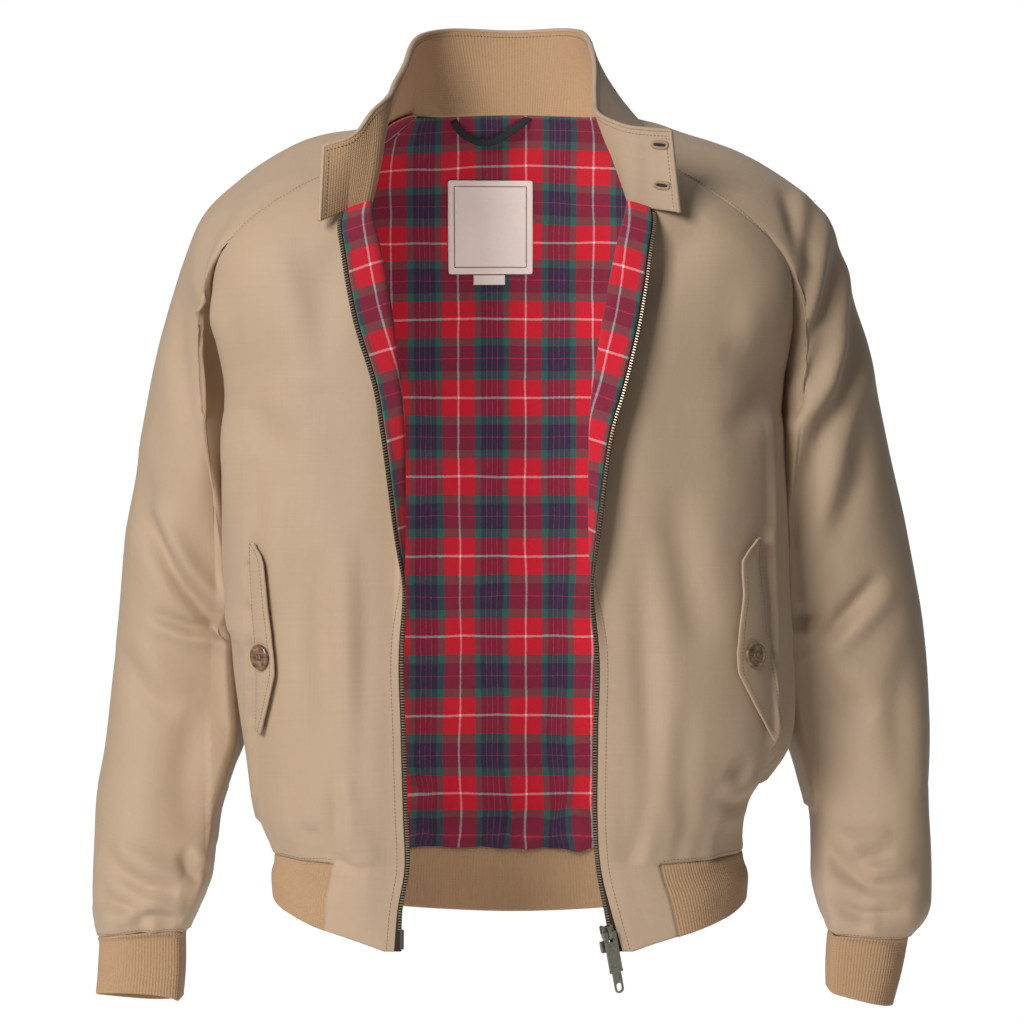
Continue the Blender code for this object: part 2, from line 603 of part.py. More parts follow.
def combine(target, tools, operation):
    """The target with the tools cut away or joined on."""
    for tool in tools:
        change = target.modifiers.new("change", "BOOLEAN")
        change.operation, change.solver, change.object = operation, "EXACT", tool
        bpy.context.view_layer.update()
        whole = bpy.data.meshes.new_from_object(
            target.evaluated_get(bpy.context.evaluated_depsgraph_get()))
        target.modifiers.clear()
        target.data = whole
        bpy.data.objects.remove(tool)
    return target


def place(made, matrix):
    made.data.transform(matrix)
    return made


def outline_prism(name, outline, z0, z1, finish):
    maker = bmesh.new()
    face = maker.faces.new([maker.verts.new((x, y, z0)) for x, y in outline])
    grown = bmesh.ops.extrude_face_region(maker, geom=[face], use_keep_orig=True)
    for item in grown["geom"]:
        if isinstance(item, bmesh.types.BMVert):
            item.co.z = z1
    bmesh.ops.recalc_face_normals(maker, faces=maker.faces)
    return new_object(name, maker, finish)


def rounded(wide, long, radius, centre=(0, 0), steps=4):
    """A rounded rectangle's outline."""
    points = []
    for k, (sx, sy) in enumerate(((1, 1), (-1, 1), (-1, -1), (1, -1))):
        for step in range(steps + 1):
            turn = math.pi / 2 * (k + step / steps)
            points.append((centre[0] + sx * (wide / 2 - radius) + radius * math.cos(turn),
                           centre[1] + sy * (long / 2 - radius) + radius * math.sin(turn)))
    return points


def button(name, spec, matrix, finish):
    """A four-hole button lying on z = 0, with a raised rim."""
    half = [(0, 0), (spec["radius"] * 0.86, 0), (spec["radius"], spec["thick"] * 0.4),
            (spec["radius"] * 0.94, spec["thick"]), (spec["radius"] - spec["rim"] * 0.6,
                                                     spec["thick"]),
            (spec["radius"] - spec["rim"], spec["thick"] - spec["dish"]),
            (0, spec["thick"] - spec["dish"])]
    count = 24
    maker = bmesh.new()
    rings = []
    for r, z in half:
        rings.append([maker.verts.new((r * math.cos(2 * math.pi * k / count),
                                       r * math.sin(2 * math.pi * k / count), z))
                      for k in range(count)] if r else [maker.verts.new((0, 0, z))])
    for low, high in zip(rings, rings[1:]):
        for k in range(count):
            m = (k + 1) % count
            corners = [low[k % len(low)], low[m % len(low)], high[m % len(high)],
                       high[k % len(high)]]
            maker.faces.new(list(dict.fromkeys(corners)))
    bmesh.ops.recalc_face_normals(maker, faces=maker.faces)
    disc = new_object(name, maker, finish)
    drill = bmesh.new()
    for sx in (-1, 1):
        for sy in (-1, 1):
            reach = spec["hole_from_centre"] * math.sqrt(0.5)
            cylinder(drill, spec["hole"], 0.02, (sx * reach, sy * reach, 0), 8)
    combine(disc, [new_object("drill", drill, finish)], "DIFFERENCE")
    return place(disc, matrix)


def bar_along(name, line, ways, wide, deep, finish):
    """A bar of rectangular section along a line; ways are its outward directions."""
    maker = bmesh.new()
    rings = []
    for k, (here, way) in enumerate(zip(line, ways)):
        ahead = line[min(k + 1, len(line) - 1)] - line[max(k - 1, 0)]
        ahead /= np.linalg.norm(ahead)
        way = way - ahead * (way @ ahead)
        way /= np.linalg.norm(way)
        across = np.cross(ahead, way)
        rings.append([maker.verts.new(here + across * sx * wide / 2 + way * sy * deep / 2)
                      for sx, sy in ((-1, -1), (1, -1), (1, 1), (-1, 1))])
    for low, high in zip(rings, rings[1:]):
        for k in range(4):
            m = (k + 1) % 4
            maker.faces.new((low[k], low[m], high[m], high[k]))
    maker.faces.new(rings[0][::-1])
    maker.faces.new(rings[-1])
    bmesh.ops.recalc_face_normals(maker, faces=maker.faces)
    return new_object(name, maker, finish)


def zip_end_matrix():
    """The slider's place: y up along the zip, z away from the wearer."""
    lean = math.radians(ZIP_END["lean"])
    return frame_of(ZIP_END["centre"], ZIP_END["facing"], (-math.sin(lean), 0, math.cos(lean)))


def slider(finish):
    wide, long, deep = SLIDER["wide"], SLIDER["long"], SLIDER["deep"]
    body = outline_prism("slider", [(-SLIDER["waist"] / 2, -long / 2), (SLIDER["waist"] / 2,
                                                                       -long / 2),
                                    (wide / 2, -long * 0.05), (wide / 2, long / 2),
                                    (-wide / 2, long / 2), (-wide / 2, -long * 0.05)],
                         -deep / 2, deep / 2, finish)
    arch = bmesh.new()
    top = deep / 2
    box(arch, (BRIDGE["wide"], BRIDGE["long"], BRIDGE["high"] + 0.001),
        (0, 0, top + (BRIDGE["high"] - 0.001) / 2))
    hole = bmesh.new()
    box(hole, (0.02, BRIDGE["long"] - 2 * BRIDGE["thick"], BRIDGE["high"] - BRIDGE["thick"]),
        (0, 0, top + (BRIDGE["high"] - BRIDGE["thick"]) / 2))
    bridge = combine(new_object("bridge", arch, finish), [new_object("hole", hole, finish)],
                     "DIFFERENCE")
    combine(body, [bridge], "UNION")
    return place(body, zip_end_matrix())


def pull_axis_height():
    return SLIDER["deep"] / 2 + (BRIDGE["high"] - BRIDGE["thick"]) / 2


def pull_tab(finish):
    """The pull hangs from a bar under the slider's bridge; y = 0 is the bar's axis."""
    thick, bar = PULL["thick"], PULL["bar"]
    top = bar + 0.0004
    foot = -PULL["plate_long"]
    plate = outline_prism("pull_tab", rounded(PULL["wide"], top - foot, 0.0010,
                                              (0, (top + foot) / 2)), -thick / 2, thick / 2,
                          finish)
    end = foot - PULL["eye_long"]
    eye = outline_prism("eye", rounded(PULL["eye_wide"], PULL["eye_long"] + 0.002, 0.0025,
                                       (0, (foot + end) / 2 + 0.001)), -thick * 0.4,
                        thick * 0.4, finish)
    combine(plate, [eye], "UNION")
    cuts = bmesh.new()
    slot_top = -bar
    slot = PULL["slot_long"]
    box(cuts, (PULL["slot_wide"], slot, 0.02), (0, slot_top - slot / 2, 0))
    hole_at = end + PULL["eye_hole"] / 2 + 0.0016
    oval = outline_prism("oval", rounded(PULL["eye_hole"], PULL["eye_hole"] * 1.3, 0.0024,
                                         (0, hole_at + PULL["eye_hole"] * 0.15)), -0.01, 0.01,
                         finish)
    combine(plate, [new_object("slot", cuts, finish), oval], "DIFFERENCE")
    lift = Matrix.Translation((0, 0, pull_axis_height()))
    return place(plate, zip_end_matrix() @ lift)


def patch(grid, ways, xs, zs, lift, columns_used):
    """Points of a panel at these x and z, moved out by lift."""
    rows, out = [], []
    for i, z in enumerate(zs):
        found = [surface_point(grid, ways, x, z, columns_used) for x in xs]
        rows.append([p + w * lift for p, w in found])
        out.append([w for _, w in found])
    return Grid(np.array(rows)), np.array(out)


def flap(side, grid, ways, finish):
    sign = SIDES[side]
    used = range(0, 5) if side == "right" else range(grid.cols - 6, grid.cols - 1)
    rows, out = [], []
    for sewn_x, sewn_z, free_x, free_z in FLAPS[side]:
        row, way_row = [], []
        for t in (0, 0.25, 0.5, 0.75, 1.0):
            x = sign * (sewn_x + (free_x - sewn_x) * t)
            z = sewn_z + (free_z - sewn_z) * t
            p, w = surface_point(grid, ways, x, z, used)
            row.append(p + w * (FLAP_LIFT + FLAP_THICK + FLAP_STAND * t**0.6))
            way_row.append(w)
        rows.append(row)
        out.append(way_row)
    return cloth(f"pocket_flap_{side}", Grid(np.array(rows)), np.array(out), 0, FLAP_THICK,
                 finish, gap=0)


def build():
    for old in list(bpy.data.objects):
        bpy.data.objects.remove(old)
    woven = material("woven_shell", (0.47, 0.36, 0.26), 0.75)
    tartan = material("tartan_lining", (0.36, 0.05, 0.06), 0.85)
    knit = material("rib_knit", (0.48, 0.34, 0.22), 0.9)
    card = material("label_cloth", (0.63, 0.52, 0.46), 0.8)
    horn = material("button_horn", (0.12, 0.06, 0.03), 0.35)
    brass = material("zip_metal", (0.16, 0.13, 0.10), 0.4, 0.9)
    tape = material("zip_tape", (0.10, 0.06, 0.04), 0.85)

    front = {side: Grid(front_grid(side)) for side in SIDES}
    back = Grid(back_grid())
    sleeve = {side: Grid(sleeve_grid(side), closed=True) for side in SIDES}
    cuff = {side: Grid(cuff_grid(side), closed=True) for side in SIDES}
    collar_points, names = collar_grid(front, back, sleeve)
    collar = Grid(collar_points)
    pool = shared_directions([*front.values(), back, *sleeve.values(), *cuff.values(), collar])
    for side in SIDES:
        halve_seam(sleeve[side], pool)
    ways = {("front", side): directions_of(front[side], pool) for side in SIDES}
    ways["back"] = directions_of(back, pool)
    rib_top = LEVELS.index("rib_seam")

    for side in SIDES:
        grid = front[side]
        way = ways["front", side]
        rib = RIB_COLUMN[side]
        rib_cells = range(rib) if side == "right" else range(grid.cols - 1 - rib, grid.cols - 1)
        body = [(i, j) for i, j in grid.cells if i >= rib_top or j not in rib_cells]
        cloth(f"front_{side}", Grid(grid.points, cells=body), way, 0, SHELL, woven)
        lined = [(i, j) for i, j in grid.cells if i >= rib_top]
        cloth(f"lining_front_{side}", Grid(grid.points, cells=lined), way, SHELL + LAYER_GAP,
              LINING, tartan)
    upper = [c for c in back.cells if c[0] >= rib_top]
    cloth("back", Grid(back.points, cells=upper), ways["back"], 0, SHELL, woven)
    cloth("lining_back", Grid(back.points, cells=upper), ways["back"], SHELL + LAYER_GAP, LINING,
          tartan)
    for side in SIDES:
        cloth(f"sleeve_{side}", sleeve[side], directions_of(sleeve[side], pool), 0, SHELL, woven)
        head = sleeve[side].part(rows=slice(0, LINED_STATIONS + 1))
        head.closed = True
        head = Grid(head.points, closed=True)
        cloth(f"lining_sleeve_{side}", head, directions_of(head, pool),
              SHELL + 3.5 * LAYER_GAP, LINING, tartan, gap=SEAM_GAP)
        cloth(f"cuff_{side}", cuff[side], directions_of(cuff[side], pool), 0, KNIT, knit)

    # the waistband's rib runs from one front band round the back to the other
    right, left = front["right"].points, front["left"].points
    r, l = RIB_COLUMN["right"], front["left"].cols - 1 - RIB_COLUMN["left"]
    low = slice(0, rib_top + 1)
    band = np.concatenate([left[low, l:], back.points[low, 1:-1], right[low, :r + 1]], axis=1)
    band_ways = np.concatenate([ways["front", "left"][low, l:], ways["back"][low, 1:-1],
                                ways["front", "right"][low, :r + 1]], axis=1)
    cloth("waistband_rib", Grid(band), band_ways, 0, KNIT, knit)

    way = directions_of(collar, pool)
    cloth("collar_shell", collar, way, 0, SHELL, woven)
    fold = names["left", "fold"]
    inner = SHELL + LAYER_GAP
    cloth("collar_rib", Grid(collar.points, cells=[c for c in collar.cells if c[0] < fold]), way,
          inner, KNIT, knit)
    cloth("collar_tab", Grid(collar.points, cells=[c for c in collar.cells if c[0] >= fold]),
          way, inner, SHELL, woven)

    for side in SIDES:
        flap(side, front[side], ways["front", side], woven)
        pocket_button(side, front[side], ways["front", side], horn)
        zip_side(side, ways["front", side], tape, brass)
    for name, (x0, x1, z0, z1) in LABEL.items():
        lift = -(SHELL + LINING + 2 * LAYER_GAP)
        xs = np.linspace(x1, x0, 5 if name == "label" else 3)
        zs = np.linspace(z0, z1, 5 if name == "label" else 2)
        grid, out = patch(back, ways["back"], xs, zs, lift, range(back.cols - 1))
        cloth(name, grid, out, 0, LABEL_THICK, card, gap=0)
    line = []
    for x, z, hang in HANGER:
        p, w = surface_point(back, ways["back"], x, z, range(back.cols - 1))
        line.append(p - w * (SHELL + KNIT + 2 * LAYER_GAP + HANGER_THICK / 2 + hang))
    bar_along("hanger_loop", line, [np.array((0, -1.0, 0))] * len(line), HANGER_HIGH,
              HANGER_THICK, tartan)
    for name, row in (("upper", 2), ("lower", 1)):
        out = Vector(way[0][row] + way[1][row]).normalized()
        centre = Vector((collar.points[0][row] + collar.points[1][row]) / 2) + out * 2 * LAYER_GAP
        button(f"collar_button_{name}", COLLAR_BUTTON, frame_of(centre, out, (0, 0, 1)), horn)
    zip_box(brass)
    slider(brass)
    pull_tab(brass)


def pocket_button(side, grid, ways, finish):
    x, z = POCKET_BUTTON[side]
    used = range(0, 5) if side == "right" else range(grid.cols - 6, grid.cols - 1)
    p, w = surface_point(grid, ways, SIDES[side] * x, z, used)
    high = FLAP_LIFT + FLAP_THICK + FLAP_STAND * 0.75 + LAYER_GAP
    button(f"pocket_button_{side}", BUTTON, frame_of(p + w * high, w, (0, 0, 1)), finish)


def zip_point(side, way, place, beyond):
    """A point beside the front's edge at a level, and the cloth's outward direction there."""
    low = int(min(math.floor(place), len(LEVELS) - 2))
    t = place - low
    edge = -1 if side == "right" else 0
    out = columns(FRONT_COLUMNS, FRONT[side])["zip_out"]
    here, ahead = (np.array(front_row(side, k, (beyond(out[k]),))[0]) for k in (low, low + 1))
    turned_way = way[low][edge] * (1 - t) + way[low + 1][edge] * t
    return here * (1 - t) + ahead * t, turned_way / np.linalg.norm(turned_way)


def zip_side(side, way, tape, brass):
    """The tape beside the front's edge, the row of teeth along it, and the right side's pin."""
    half = CHAIN_WIDTH / 2
    low = ZIP_LOW[side]
    levels = [low, *range(1, len(LEVELS) - 1), ZIP_HIGH]
    near = [zip_point(side, way, k, lambda out: SEAM_GAP - out) for k in [0, *levels]]
    far = [zip_point(side, way, k, lambda out: -half - TEETH_GAP) for k in levels]
    beside = zip_point(side, way, 0, lambda out: min(TAPE_SHOWN, out - half) - out)
    far.insert(0, beside)
    if side == "left":
        far[1] = zip_point(side, way, low, lambda out: min(TAPE_SHOWN, out - half) - out)
    pairs = list(zip(near, far)) if side == "right" else list(zip(far, near))
    grid = Grid(np.array([[p for p, _ in pair] for pair in pairs]))
    out_ways = np.array([[w for _, w in pair] for pair in pairs])
    cloth(f"zip_tape_{side}", grid, out_ways, 0.0002, TAPE_THICK, tape, gap=0)
    teeth = [zip_point(side, way, k, lambda out: 0.0) for k in levels]
    sunk = 0.0002 + TAPE_THICK / 2
    bar_along(f"zip_chain_{side}", [p - w * sunk for p, w in teeth], [w for _, w in teeth],
              CHAIN_WIDTH, CHAIN_DEPTH, brass)
    if side == "right":
        pin = [zip_point(side, way, k, lambda out: 0.0) for k in PIN]
        bar_along("zip_pin", [p - w * sunk for p, w in pin], [w for _, w in pin], CHAIN_WIDTH,
                  CHAIN_DEPTH, brass)


def zip_box(finish):
    maker = bmesh.new()
    box(maker, ZIP_BOX["size"])
    lean = math.radians(ZIP_END["lean"])
    matrix = frame_of(ZIP_BOX["centre"], ZIP_END["facing"], (-math.sin(lean), 0,
                                                            math.cos(lean)))
    return place(new_object("zip_box", maker, finish), matrix)


def halve_seam(grid, pool):
    """Points halfway between the seam's, so that the round is smoother than the seam."""
    doubled = np.empty((grid.rows, grid.cols * 2, 3))
    doubled[:, ::2] = grid.points
    after = np.roll(grid.points, -1, axis=1)
    before = np.roll(grid.points, 1, axis=1)
    beyond = np.roll(grid.points, -2, axis=1)
    doubled[:, 1::2] = (9 * (grid.points + after) - before - beyond) / 16
    doubled[0, 1::2] = (grid.points[0] + after[0]) / 2
    grid.points = doubled
    grid.rows, grid.cols = doubled.shape[:2]
    grid.cells = [(i, j) for i in range(grid.rows - 1) for j in range(grid.cols)]
    own = shared_directions([grid])
    for i in range(grid.rows):
        for j in range(1, grid.cols, 2):
            a, b = (pool[place_key(doubled[i, k % grid.cols])] for k in (j - 1, j + 1))
            way = a + b if i == 0 else own[place_key(doubled[i, j])]
            pool[place_key(doubled[i, j])] = way / np.linalg.norm(way)


build()
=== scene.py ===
import math

import bmesh
import bpy
import numpy as np
from mathutils import Matrix, Vector, kdtree, noise
from mathutils.bvhtree import BVHTree


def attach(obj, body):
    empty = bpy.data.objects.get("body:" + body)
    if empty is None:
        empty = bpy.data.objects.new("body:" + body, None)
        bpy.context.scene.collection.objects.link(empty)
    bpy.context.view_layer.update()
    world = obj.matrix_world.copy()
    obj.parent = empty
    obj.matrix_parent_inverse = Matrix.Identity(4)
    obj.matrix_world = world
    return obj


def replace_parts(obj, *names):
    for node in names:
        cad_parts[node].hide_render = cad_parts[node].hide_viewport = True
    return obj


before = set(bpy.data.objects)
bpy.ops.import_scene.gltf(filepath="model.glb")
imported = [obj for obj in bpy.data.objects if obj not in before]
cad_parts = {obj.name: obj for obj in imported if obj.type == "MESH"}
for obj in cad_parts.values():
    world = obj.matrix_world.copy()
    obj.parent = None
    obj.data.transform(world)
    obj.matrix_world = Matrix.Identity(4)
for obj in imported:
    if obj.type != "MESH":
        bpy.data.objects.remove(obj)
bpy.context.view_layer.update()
print("frame loaded:", len(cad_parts), "nodes")

# the cut of the jacket, in metres: the same driving tables as the model's

cloth = {"shell": 0.0013, "lining": 0.0010, "knit": 0.0020, "layerGap": 0.0004,
         "rollRadius": 0.006, "fullness": 0.65, "widePlace": 0.2, "backFullness": 1.15}
sides = {"right": -1.0, "left": 1.0}
ribSeam, armpit, neck = 2, 7, 13  # levels that the panels share

frontNames = ("outX", "outY", "outZ", "foldX", "foldY", "foldZ", "wideX", "turn", "roll", "zipOut")
frontTable = {
    "right": (
        (0.1920, 0.010, -0.6316, 0.1018, -0.116, -0.6707, 0.1965, 0.0080, 0, 0.006),
        (0.1930, 0.010, -0.6155, 0.0977, -0.119, -0.6370, 0.1975, 0.0068, 0, 0.0042),
        (0.1900, 0.010, -0.5990, 0.0921, -0.122, -0.6035, 0.1950, 0.0068, 0, 0.0042),
        (0.2010, 0.012, -0.5651, 0.0930, -0.132, -0.5607, 0.2085, 0.0068, 0, 0.0042),
        (0.2060, 0.013, -0.5110, 0.0947, -0.134, -0.4972, 0.2148, 0.0068, 0, 0.0042),
        (0.2110, 0.015, -0.4270, 0.0955, -0.134, -0.4221, 0.2247, 0.0068, 20, 0.0042),
        (0.2140, 0.015, -0.3420, 0.0926, -0.134, -0.3431, 0.2315, 0.0178, 120, 0.0042),
        (0.2180, 0.015, -0.2560, 0.0930, -0.133, -0.2562, 0.2350, 0.0268, 150, 0.0042),
        (0.2290, -0.010, -0.2130, 0.0965, -0.131, -0.2120, 0.2370, 0.0293, 160, 0.0042),
        (0.2410, -0.045, -0.1650, 0.1028, -0.128, -0.1630, 0.2435, 0.0368, 165, 0.0042),
        (0.2395, -0.071, -0.1220, 0.1086, -0.123, -0.1278, 0.2320, 0.0386, 165, 0.0042),
        (0.2164, -0.083, -0.0910, 0.1145, -0.116, -0.1012, 0.2050, 0.0371, 165, 0.0042),
        (0.1720, -0.077, -0.0610, 0.1194, -0.106, -0.0821, 0.1630, 0.0352, 165, 0.0042),
        (0.1215, -0.050, -0.0340, 0.1210, -0.092, -0.0682, 0.1225, 0.0318, 165, 0.0042),
    ),
    "left": (
        (0.1890, 0.010, -0.6316, 0.0962, -0.116, -0.6707, 0.1945, 0.0080, 0, 0.009),
        (0.1890, 0.010, -0.6155, 0.0866, -0.119, -0.6370, 0.1950, 0.0080, 0, 0.006),
        (0.1840, 0.010, -0.5970, 0.0774, -0.122, -0.6035, 0.1900, 0.0068, 0, 0.0042),
        (0.1890, 0.012, -0.5580, 0.0745, -0.132, -0.5607, 0.1970, 0.0068, 0, 0.0042),
        (0.2130, 0.013, -0.5110, 0.0750, -0.134, -0.4972, 0.2263, 0.0068, 0, 0.0042),
        (0.2130, 0.015, -0.4270, 0.0750, -0.134, -0.4221, 0.2255, 0.0068, 20, 0.0042),
        (0.2120, 0.015, -0.3420, 0.0693, -0.134, -0.3431, 0.2243, 0.0183, 120, 0.0042),
        (0.2110, 0.015, -0.2560, 0.0694, -0.133, -0.2562, 0.2226, 0.0273, 150, 0.0042),
        (0.2190, -0.010, -0.2130, 0.0733, -0.131, -0.2120, 0.2225, 0.0338, 160, 0.0042),
        (0.2260, -0.045, -0.1650, 0.0807, -0.128, -0.1630, 0.2275, 0.0371, 165, 0.0042),
        (0.2235, -0.071, -0.1220, 0.0871, -0.123, -0.1278, 0.2170, 0.0368, 165, 0.0042),
        (0.1970, -0.083, -0.0910, 0.0927, -0.116, -0.1012, 0.1870, 0.0348, 165, 0.0042),
        (0.1560, -0.076, -0.0590, 0.0981, -0.106, -0.0821, 0.1480, 0.0323, 165, 0.0042),
        (0.1180, -0.050, -0.0330, 0.1010, -0.092, -0.0682, 0.1165, 0.0288, 165, 0.0042),
    ),
}
columnPlaces = {"right": (0, 0.20, 0.38, 0.55, 0.72, 0.86, 1.0),
                "left": (0, 0.20, 0.36, 0.52, 0.66, 0.80, 0.90, 1.0)}
ribColumn = {"right": 4, "left": 5}  # the waistband's rib ends at this column of each front
backCentre = (
    (0.114, -0.6650), (0.118, -0.6350), (0.121, -0.6030), (0.136, -0.5720), (0.135, -0.5100),
    (0.131, -0.4250), (0.130, -0.3400), (0.137, -0.2550), (0.141, -0.2050), (0.142, -0.1550),
    (0.136, -0.1050), (0.120, -0.0600), (0.099, -0.0180), (0.076, 0.0170),
)
backSeam = (
    (0.222, 0.060, -0.2130), (0.226, 0.090, -0.1650), (0.213, 0.108, -0.1180),
    (0.184, 0.108, -0.0720), (0.140, 0.090, -0.0260), (0.088, 0.056, 0.0135),
)
sleeveNames = ("overX", "overZ", "underX", "underZ", "y", "front", "back", "seamShare", "tilt")
sleeveTable = {
    "right": (
        (0.1090, 0.0015, 0.2130, -0.2560, 0.010, 0.100, 0.095, 1.00, 0),
        (0.1807, -0.0196, 0.2270, -0.2660, 0.014, 0.094, 0.093, 0.62, 0),
        (0.2269, -0.0432, 0.2350, -0.2790, 0.018, 0.088, 0.091, 0.30, 0),
        (0.2590, -0.0686, 0.2390, -0.2980, 0.022, 0.084, 0.088, 0.10, 0),
        (0.2770, -0.1084, 0.2390, -0.3280, 0.026, 0.080, 0.080, 0, 0),
        (0.2950, -0.1684, 0.2370, -0.3700, 0.030, 0.074, 0.072, 0, 0),
        (0.3072, -0.2354, 0.2345, -0.4150, 0.033, 0.069, 0.067, 0, 0),
        (0.3200, -0.3193, 0.2315, -0.4650, 0.034, 0.065, 0.063, 0, 0),
        (0.3284, -0.3949, 0.2295, -0.5100, 0.032, 0.061, 0.061, 0, 0),
        (0.3346, -0.4619, 0.2373, -0.5357, 0.027, 0.060, 0.060, 0, 0),
        (0.3386, -0.5200, 0.2467, -0.5702, 0.019, 0.058, 0.058, 0, 0),
        (0.3458, -0.5651, 0.2483, -0.5985, 0.010, 0.058, 0.058, 0, 0),
        (0.3484, -0.6263, 0.2505, -0.6280, -0.002, 0.056, 0.056, 0, 0.002),
        (0.3466, -0.6544, 0.2606, -0.6500, -0.008, 0.050, 0.050, 0, 0.003),
        (0.3420, -0.6729, 0.2701, -0.6663, -0.012, 0.041, 0.041, 0, 0.004),
    ),
    "left": (
        (0.1090, 0.0015, 0.2130, -0.2560, 0.010, 0.100, 0.095, 1.00, 0),
        (0.1782, -0.0196, 0.2160, -0.2680, 0.012, 0.096, 0.095, 0.62, 0),
        (0.2277, -0.0416, 0.2190, -0.2830, 0.015, 0.090, 0.093, 0.30, 0),
        (0.2590, -0.0686, 0.2225, -0.3020, 0.020, 0.086, 0.090, 0.10, 0),
        (0.2775, -0.1084, 0.2240, -0.3300, 0.025, 0.082, 0.082, 0, 0),
        (0.2960, -0.1684, 0.2255, -0.3700, 0.030, 0.076, 0.074, 0, 0),
        (0.3106, -0.2354, 0.2270, -0.4150, 0.033, 0.070, 0.068, 0, 0),
        (0.3268, -0.3193, 0.2295, -0.4650, 0.034, 0.066, 0.064, 0, 0),
        (0.3402, -0.3949, 0.2365, -0.5100, 0.032, 0.062, 0.062, 0, 0),
        (0.3463, -0.4619, 0.2440, -0.5373, 0.027, 0.060, 0.060, 0, 0),
        (0.3478, -0.5200, 0.2508, -0.5718, 0.019, 0.058, 0.058, 0, 0),
        (0.3474, -0.5651, 0.2508, -0.6026, 0.010, 0.058, 0.058, 0, 0),
        (0.3468, -0.6263, 0.2497, -0.6263, -0.002, 0.056, 0.056, 0, 0),
        (0.3425, -0.6519, 0.2548, -0.6486, -0.008, 0.050, 0.050, 0, 0),
        (0.3271, -0.6713, 0.2627, -0.6680, -0.012, 0.040, 0.040, 0, 0),
    ),
}
cuffTable = {
    "right": (
        (0.3400, -0.6790, 0.2715, -0.6730, -0.012, 0.037, 0.037, 0, 0.004),
        (0.3405, -0.7000, 0.2715, -0.6990, -0.016, 0.036, 0.036, 0, 0.005),
        (0.3427, -0.7172, 0.2718, -0.7205, -0.020, 0.037, 0.037, 0, 0.007),
    ),
    "left": (
        (0.3252, -0.6780, 0.2622, -0.6740, -0.012, 0.036, 0.036, 0, 0),
        (0.3195, -0.7020, 0.2608, -0.6960, -0.016, 0.035, 0.035, 0, 0),
        (0.3138, -0.7254, 0.2595, -0.7123, -0.020, 0.036, 0.036, 0, 0),
    ),
}
underarmNarrow = 0.22
flatSide = 0.80
# the collar's top edge: mark on the foot line, x, y, z, and how far the section bellies in x and y
collarTable = (
    (0, -0.1495, -0.116, -0.0308, 0, -0.001), (1, -0.1272, -0.113, -0.0217, 0, -0.001),
    (2, -0.1135, -0.103, -0.0022, 0.002, -0.002), (4, -0.1013, -0.085, 0.0127, 0.004, -0.003),
    (10, -0.0966, -0.060, 0.0282, 0.004, -0.002), (11, -0.0901, -0.032, 0.0451, 0.002, 0),
    (12, -0.0812, 0.025, 0.0757, 0, 0.003), (16, -0.0540, 0.070, 0.0885, 0, 0.004),
    (18, 0.0000, 0.085, 0.0890, 0, 0.004), (20, 0.0490, 0.068, 0.0885, 0, 0.004),
    (24, 0.0640, 0.033, 0.0785, 0, 0.003), (25, 0.0695, -0.010, 0.0512, -0.002, 0),
    (26, 0.0685, -0.050, 0.0188, -0.003, -0.001), (33, 0.0708, -0.085, -0.0002, -0.003, -0.002),
    (35, 0.0900, -0.109, -0.0130, 0, -0.002), (36, 0.1081, -0.116, -0.0166, 0, -0.001),
    (37, 0.1262, -0.119, -0.0185, 0, -0.001),
)
tabEnd = {"right": (-0.1537, -0.124, -0.0902), "left": (0.1337, -0.120, -0.0830)}
collarFold = 33  # foot mark where the knit facing ends and the woven tab starts


def smoothRows(rows, places):
    # values at places counted in rows, on a smooth curve through the rows
    rows = np.asarray(rows, float)
    places = np.asarray(places, float)
    k = np.clip(np.floor(places).astype(int), 0, len(rows) - 2)
    t = (places - k).reshape(-1, *[1] * (rows.ndim - 1))
    longer = np.concatenate([2 * rows[:1] - rows[1:2], rows, 2 * rows[-1:] - rows[-2:-1]])
    p0, p1, p2, p3 = (longer[k + s] for s in range(4))
    return 0.5 * (2 * p1 + (p2 - p0) * t + (2 * p0 - 5 * p1 + 4 * p2 - p3) * t * t
                  + (3 * p1 - p0 - 3 * p2 + p3) * t**3)


def finePlaces(counts, extra=()):
    # a place for each fine row: counts steps in each interval, and extra ones beside a seam
    places = {float(len(counts))}
    for k, count in enumerate(counts):
        places.update(k + step / count for step in range(count))
    places.update(extra)
    return np.array(sorted(places))


def conic(start, corner, end, weight, place):
    a, b, c = (1 - place) ** 2, 2 * weight * place * (1 - place), place**2
    return (a * start + b * corner + c * end) / (a + b + c)


def alongOf(line):
    # the distance along a line of points at each of them
    step = np.linalg.norm(np.diff(line, axis=0), axis=1)
    return np.concatenate([[0], np.cumsum(step)])


def pointAt(at, place, line):
    return np.array([np.interp(at, place, line[:, k]) for k in range(3)])


def roundRows(points, closed):
    # the columns again with the first one after the last, where the rows are closed
    return np.concatenate([points, points[:, :1]], axis=1) if closed else points


def unit(vectors):
    size = np.linalg.norm(vectors, axis=-1, keepdims=True)
    return vectors / np.maximum(size, 1e-12)


def smoothStep(low, high, value):
    t = np.clip((value - low) / (high - low), 0, 1)
    return t * t * (3 - 2 * t)


def cornerX(row):
    a, c = (1 - cloth["widePlace"]) ** 2, cloth["widePlace"] ** 2
    b = 2 * cloth["fullness"] * cloth["widePlace"] * (1 - cloth["widePlace"])
    return ((a + b + c) * row["wideX"] - a * row["outX"] - c * row["foldX"]) / b


